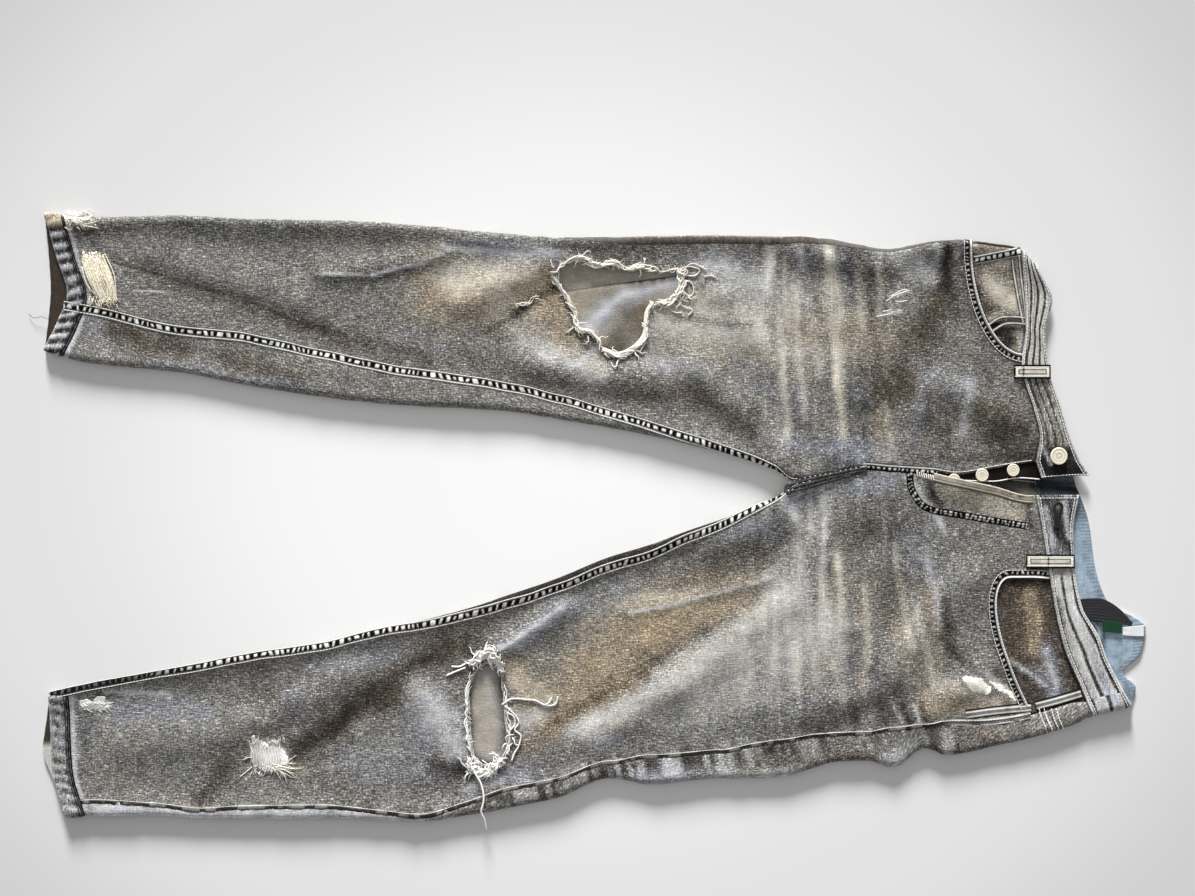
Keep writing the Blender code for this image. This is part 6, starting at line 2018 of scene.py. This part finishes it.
# slope: painted shade near each trough and painted light on the rucks' tops.
slope = np.where(right, 0.34, 0.22) * showing * np.cos(np.pi * np.clip(groove / 4.0, 0, 1))
tone = brushed(x, y, BAND_WASH_AND_SHADE, 420, "blue") * 0.9 * (1 - slope)[..., None]
tone = toned(tone, TONES["white"], 0.7 * np.clip(white, 0, 1))
tone = toned(tone, SEAM_BLACK, 0.9 * black)
worn_edge = np.clip(bell(e - 0.985, 0.03) * 0.75 + bell(e - 0.04, 0.03) * 0.65, 0, 1)
tone = toned(tone, TONES["white"] * 0.9, worn_edge)
tone = toned(tone, SEAM_BLACK, np.clip(bell(e - 0.11, 0.03) * 0.9 + bell(e - 0.90, 0.03) * 0.8, 0, 1))

# Shade at the two ends, glints on the folds beside the opening, and the pale cloth inside the keyhole.
ends = 0.75 * right * streak(448, 54, 488, 42, 17) + 0.2 * ~right * streak(452, 14, 468, -26, 17)
glints = streak(468, 14, 474, -22, 2.6) + streak(450, 8, 458, -30, 3.0) + streak(447, 70, 456, 52, 1.8)
eyelet = bell(np.hypot(x - 462.6, y - 8.6), 2.2) * ~right * top
tone = tone * (1 - ends * (1 - worn_edge))[..., None]
tone = toned(tone, TONES["pale"], 0.6 * np.clip(glints, 0, 1))
tone = toned(tone, TONES["sand"] * 1.6, 0.9 * eyelet)

# Inside: pale blue, ribbed along its upper edge, dark in its seam and in the shade of the opening.
ribs = ease((e - 0.72) / 0.1) * (0.5 + 0.5 * np.sin(2 * np.pi * length / 3.2))
inside = BAND_BLUE * (1 + 0.25 * hills(x, y, 7, 430) + 0.12 * hills(x, y, 3, 431))[..., None]
inside = toned(inside, BAND_SHADE, 0.6 * ribs)
inside = toned(inside, BAND_GROOVE, 0.75 * bell(e - 0.1, 0.06))
inside = inside * (1 - 0.96 * streak(436, 34, 484, 24, 18))[..., None]
waistband = grid_piece("waistband_cloth", band["points"], {"wash": tone, "lining": inside},
                       np.stack([length, x], axis=-1), (WASHED, UNDERSIDE), wall=DOUBLE_WALL)
belongs(waistband, "grey_denim", "waistband")
cut("waistband", band["points"])

band_pieces = []
# The two rows along the band and those down its ends, each with its stitches' pitch, radius and length.
BAND_LINES = (
    ("lower", (3, slice(1, -1)), 3.3, 0.45, 3.2),
    ("upper", (-4, slice(1, -1)), 3.3, 0.45, 3.2),
    ("button_end", (slice(None), 1), 3.0, 0.42, 2.4),
    ("keyhole_end", (slice(None), -3), 3.0, 0.42, 2.4),
)
for name, line, pitch, radius, size in BAND_LINES:
    row = stitches_on("band_stitches_" + name, band["points"][line], band["normals"][line], WHITE_THREAD, pitch,
                      radius, size, 0.15)
    band_pieces.append(row)
EYE = ((459.6, -12), (459.8, 0), (459.6, 5), (459.0, 9.5), (462.2, 13.4), (466.6, 10.6), (465.6, 6), (463.2, 2),
       (463.0, -6), (462.6, -12))
SLIT = ((461.2, -12.5), (461.5, -2), (462.0, 3.4))
for name, corners, girth, squash in (("cord", EYE, 1.3, 0.8), ("slit", SLIT, 2.0, 0.3)):
    path = walked(corners, 0.8)
    points, _ = on_front(LEFT, path[:, 0], path[:, 1], lift=1.9, rough=0.3, lie=BAND_LIE)
    band_pieces.append(yarn_piece("keyhole_" + name, [(points, girth)], BLACK_THREAD, squash=squash))
for piece in band_pieces:
    belongs(piece, "dark_denim" if piece.name.startswith("keyhole") else "pale_cotton")

# The belt loops: strips folded in three and sewn down flat at both ends, with a row of stitching along
# each side. Their middles are rubbed to cream.

LOOP_WALL, LOOP_STEP, LOOP_BOW, LOOP_HALF, CLEAR = 1.8, 1.8, 0.3, 7.0, 0.35
UPRIGHT = np.array([0.0, 0.0, 1.0])
loops = {}
for side, half, x_ends, y_ends in (("right", RIGHT, (419, 455), (151, 137)), ("left", LEFT, (431, 479), (-38, -52))):
    across = np.linspace(0, 1, 29)[None, :]
    y = y_ends[0] + (y_ends[1] - y_ends[0]) * across
    seam = float(lined_up(half, "waist", "", place_at(half, np.array([sum(x_ends) / 2]), y)).min())
    x = np.linspace(*x_ends, 60)[:, None]
    step = np.interp(x, (x_ends[0], seam - 4, seam - 1.5, (seam + x_ends[1]) / 2, x_ends[1]),
                     (0, 0, LOOP_STEP, LOOP_STEP + LOOP_BOW, LOOP_STEP))
    under = cloth(half, x, place_at(half, x, y))
    crown = 0.25 * np.sin(np.pi * across) - 0.3 * bell(np.minimum(across, 1 - across) - 0.2, 0.05)
    crown = crown + 0.12 * hills(x, y, 4, 440)
    under[..., 2] += step + WALL / 2 + CLEAR + LOOP_WALL + crown
    at = LOOP_HALF * np.abs(2 * across - 1)
    inner = np.minimum(LOOP_HALF - at, np.minimum(x - x_ends[0], x_ends[1] - x) + 0.4)
    black = np.clip(ease((2.1 - inner) / 0.5) + 0.9 * bell(inner - 4.9, 0.7) + 0.8 * bell(x - seam - 2, 0.8), 0, 1)
    cream = to_linear((226, 220, 206)) * (1 + 0.2 * hills(x, y, 3, 441) - 0.25 * bell(at, 0.6))[..., None]
    colour = toned(cream, to_linear((250, 248, 242)), bell(inner - 3.3, 0.8))
    colour = toned(colour, SEAM_BLACK * 0.8, black)
    weave = np.stack([x + 0 * y, y + 0 * x], axis=-1)
    name = "belt_loop_" + side
    loop = grid_piece(name + "_strip", under, {"wash": colour}, weave, (WORN_SEAM,), flip=faces_down(under),
                      wall=LOOP_WALL)
    belongs(loop, "grey_denim", name)
    cut(name, under)
    loops[side] = [loop]
    for k, row in enumerate((5, 23)):
        points = under[:, row]
        rows = stitches_on(f"loop_stitches_{side}_{k}", points, np.broadcast_to(UPRIGHT, points.shape), WHITE_THREAD,
                           3.0, 0.4, 2.3, 0.2)
        loops[side].append(belongs(rows, "pale_cotton"))

# ---------------------------------------------------------------------------------------------------
# The labels inside the back waistband, all plain: a black ribbed one sewn on with white ticks, a small
# dark green tab beside it and a folded white care tab.

LABEL_WALL = 1.0
ON_BAND = DOUBLE_WALL + CLEAR + LABEL_WALL / 2
LABELS = {  # upper edge, lower edge, height, rib, tone, how pale the ribs, slot
    "label": (((484, -83), (497, -82), (509, -83), (524, -92), (538, -107)),
              ((486, -104), (495, -105), (507, -106), (522, -107), (536, -109.5)),
              ON_BAND, 0.16, (34, 34, 36), 1.1, "dark_woven_label"),
    "size_tab": (((507, -104), (517, -105), (527, -107)), ((508, -115), (517, -116), (527, -117)),
                 ON_BAND + LABEL_WALL + CLEAR, 0.03, (12, 58, 32), 0.2, "dark_woven_label"),
    "care_tab": (((528, -111), (539, -110), (549, -109)), ((528, -119), (539, -120), (549, -120)),
                 ON_BAND, 0.03, (222, 226, 226), 0.2, "pale_cotton"),
}
RIBS, DEEPEST_RIB = 8, 0.16


def evened(corners, count):
    """The curve through the corners at so many places, even in its steps."""
    path = walked(corners, 0.8)
    at, share = np.linspace(0, 1, len(path)), np.linspace(0, 1, count)
    return np.stack([np.interp(share, at, path[:, k]) for k in range(2)], axis=-1)


labels = {}
ribbed = denim("ribbed_tape", contrast=1.2, slub=0.3, warm=0.0, roughness=0.7)
for name, (upper, lower, height, rib_rise, tone, paler, slot) in LABELS.items():
    down = np.linspace(0, 1, 24)[:, None, None]
    flat = evened(upper, 44)[None] * (1 - down) + evened(lower, 44)[None] * down
    rib = np.sin(2 * np.pi * down[..., 0] * RIBS) * rib_rise
    bend = 0.12 * hills(flat[..., 0], flat[..., 1], 6, 450)
    z = height + LABEL_WALL / 2 - 0.3 + rib + bend
    points = np.concatenate([flat, z[..., None]], axis=-1)
    colour = to_linear(tone) * (1 + paler * np.clip(rib / DEEPEST_RIB, 0, 1) + 0 * z)[..., None]
    piece = grid_piece(name + "_tape", points, {"wash": colour}, flat, (ribbed,), flip=True, wall=0.6)
    labels[name] = [belongs(piece, slot, name)]
    cut(name, points)
    if name == "label":
        ticks = stitches_on("label_stitches", points[1], np.broadcast_to(UPRIGHT, points[1].shape), WHITE_THREAD,
                            3.2, 0.42, 1.8, 0.1)
        labels[name].append(belongs(ticks, "pale_cotton"))

# ---------------------------------------------------------------------------------------------------
# The yokes' and the side seams' topstitching: two rows along each yoke, and the rows that cross the left
# side between the yoke and the waistband.

yoke_rows, side_rows = {"right": [], "left": []}, []
for side, half in HALVES.items():
    stations = np.array([YOKE_STATION - 0.0035, YOKE_STATION - 0.009])
    x, w, length = panel_places(half, stations, 3.0, "back")
    for k in range(2):
        points, normals = surface(half, x[k], w[k])
        row = stitches_on(f"yoke_stitches_{side}_{k}", points, normals, WHITE_THREAD, 3.3, 0.4, 2.6, 0.0)
        yoke_rows[side].append(belongs(row, "pale_cotton"))


def felled_bar(along, across, x, y):
    """Two white rows close together on a black welt."""
    white = 1.3 * bell(np.abs(across) - 2.3, 0.75) + 0.25 * bell(across, 1.0)
    white = np.clip(white * (0.9 + 0.3 * hills(along, across, 6, 460)), 0, 1)
    return 0.75 - 0.03 * across**2, toned(SEAM_BLACK, SEAM_WHITE, white)


for name, line in (("pocket", ((371, -198.5), (400, -194.5), (436, -191))),
                   ("yoke", ((441, -189.5), (462, -184), (486, -177)))):
    side_rows.append(strip_piece("side_welt_" + name, LEFT, walked(line, 0.8), (-5.2, 5.2), 15, felled_bar,
                                 WORN_SEAM, "dark_denim"))
for k, at in enumerate((447, 452, 459, 464)):
    line = ((at - 3, -192), (at, -203), (at + 4, -212))
    row = stitches_along(f"side_stitches_{k}", LEFT, line, 0.3, WHITE_THREAD, pitch=2.9, radius=0.5)
    side_rows.append(belongs(row, "pale_cotton"))

# ---------------------------------------------------------------------------------------------------
# How the cloth lies. Every piece was cut flat and now lies on the layer below it, carrying the seams,
# stitches and bare yarns that are sewn to it or hang from it.

shield_cord, right_fly_row, *left_fly = fly_pieces
right_mouth_pieces, coin_rows = pocket_pieces["right"][:3], pocket_pieces["right"][3:]
LAID = {
    "front_right": (fronts["right"], backs["right"],
                    [*seam_pieces["right"], *torn["right"], right_fly_row, *right_mouth_pieces]),
    "front_left": (fronts["left"], backs["left"],
                   [*seam_pieces["left"], *torn["left"], *pocket_pieces["left"], *left_fly, *side_rows]),
    "back_right": (backs["right"], None, [knee_fold]),
    "back_left": (backs["left"], None, []),
    "yoke_right": (backs["yoke_right"], None, yoke_rows["right"]),
    "yoke_left": (backs["yoke_left"], None, yoke_rows["left"]),
    "hem_right": (backs["hem_right"], None, [hem_lines["right"]]),
    "hem_left": (backs["hem_left"], None, [hem_lines["left"]]),
    "pocket_facing_right": (facings["right"], backs["right"], []),
    "pocket_facing_left": (facings["left"], backs["left"], []),
    "coin_pocket": (coin, facings["right"], coin_rows),
    "fly_shield": (shield, backs["right"], [shield_cord]),
    "waistband": (waistband, backs["yoke_right"], band_pieces),
    "belt_loop_right": (loops["right"][0], waistband, loops["right"][1:]),
    "belt_loop_left": (loops["left"][0], waistband, loops["left"][1:]),
    "label": (labels["label"][0], waistband, labels["label"][1:]),
    "size_tab": (labels["size_tab"][0], waistband, []),
    "care_tab": (labels["care_tab"][0], waistband, []),
}
for name, (piece, under, sewn_on) in LAID.items():
    width, length, area = cuts[name]
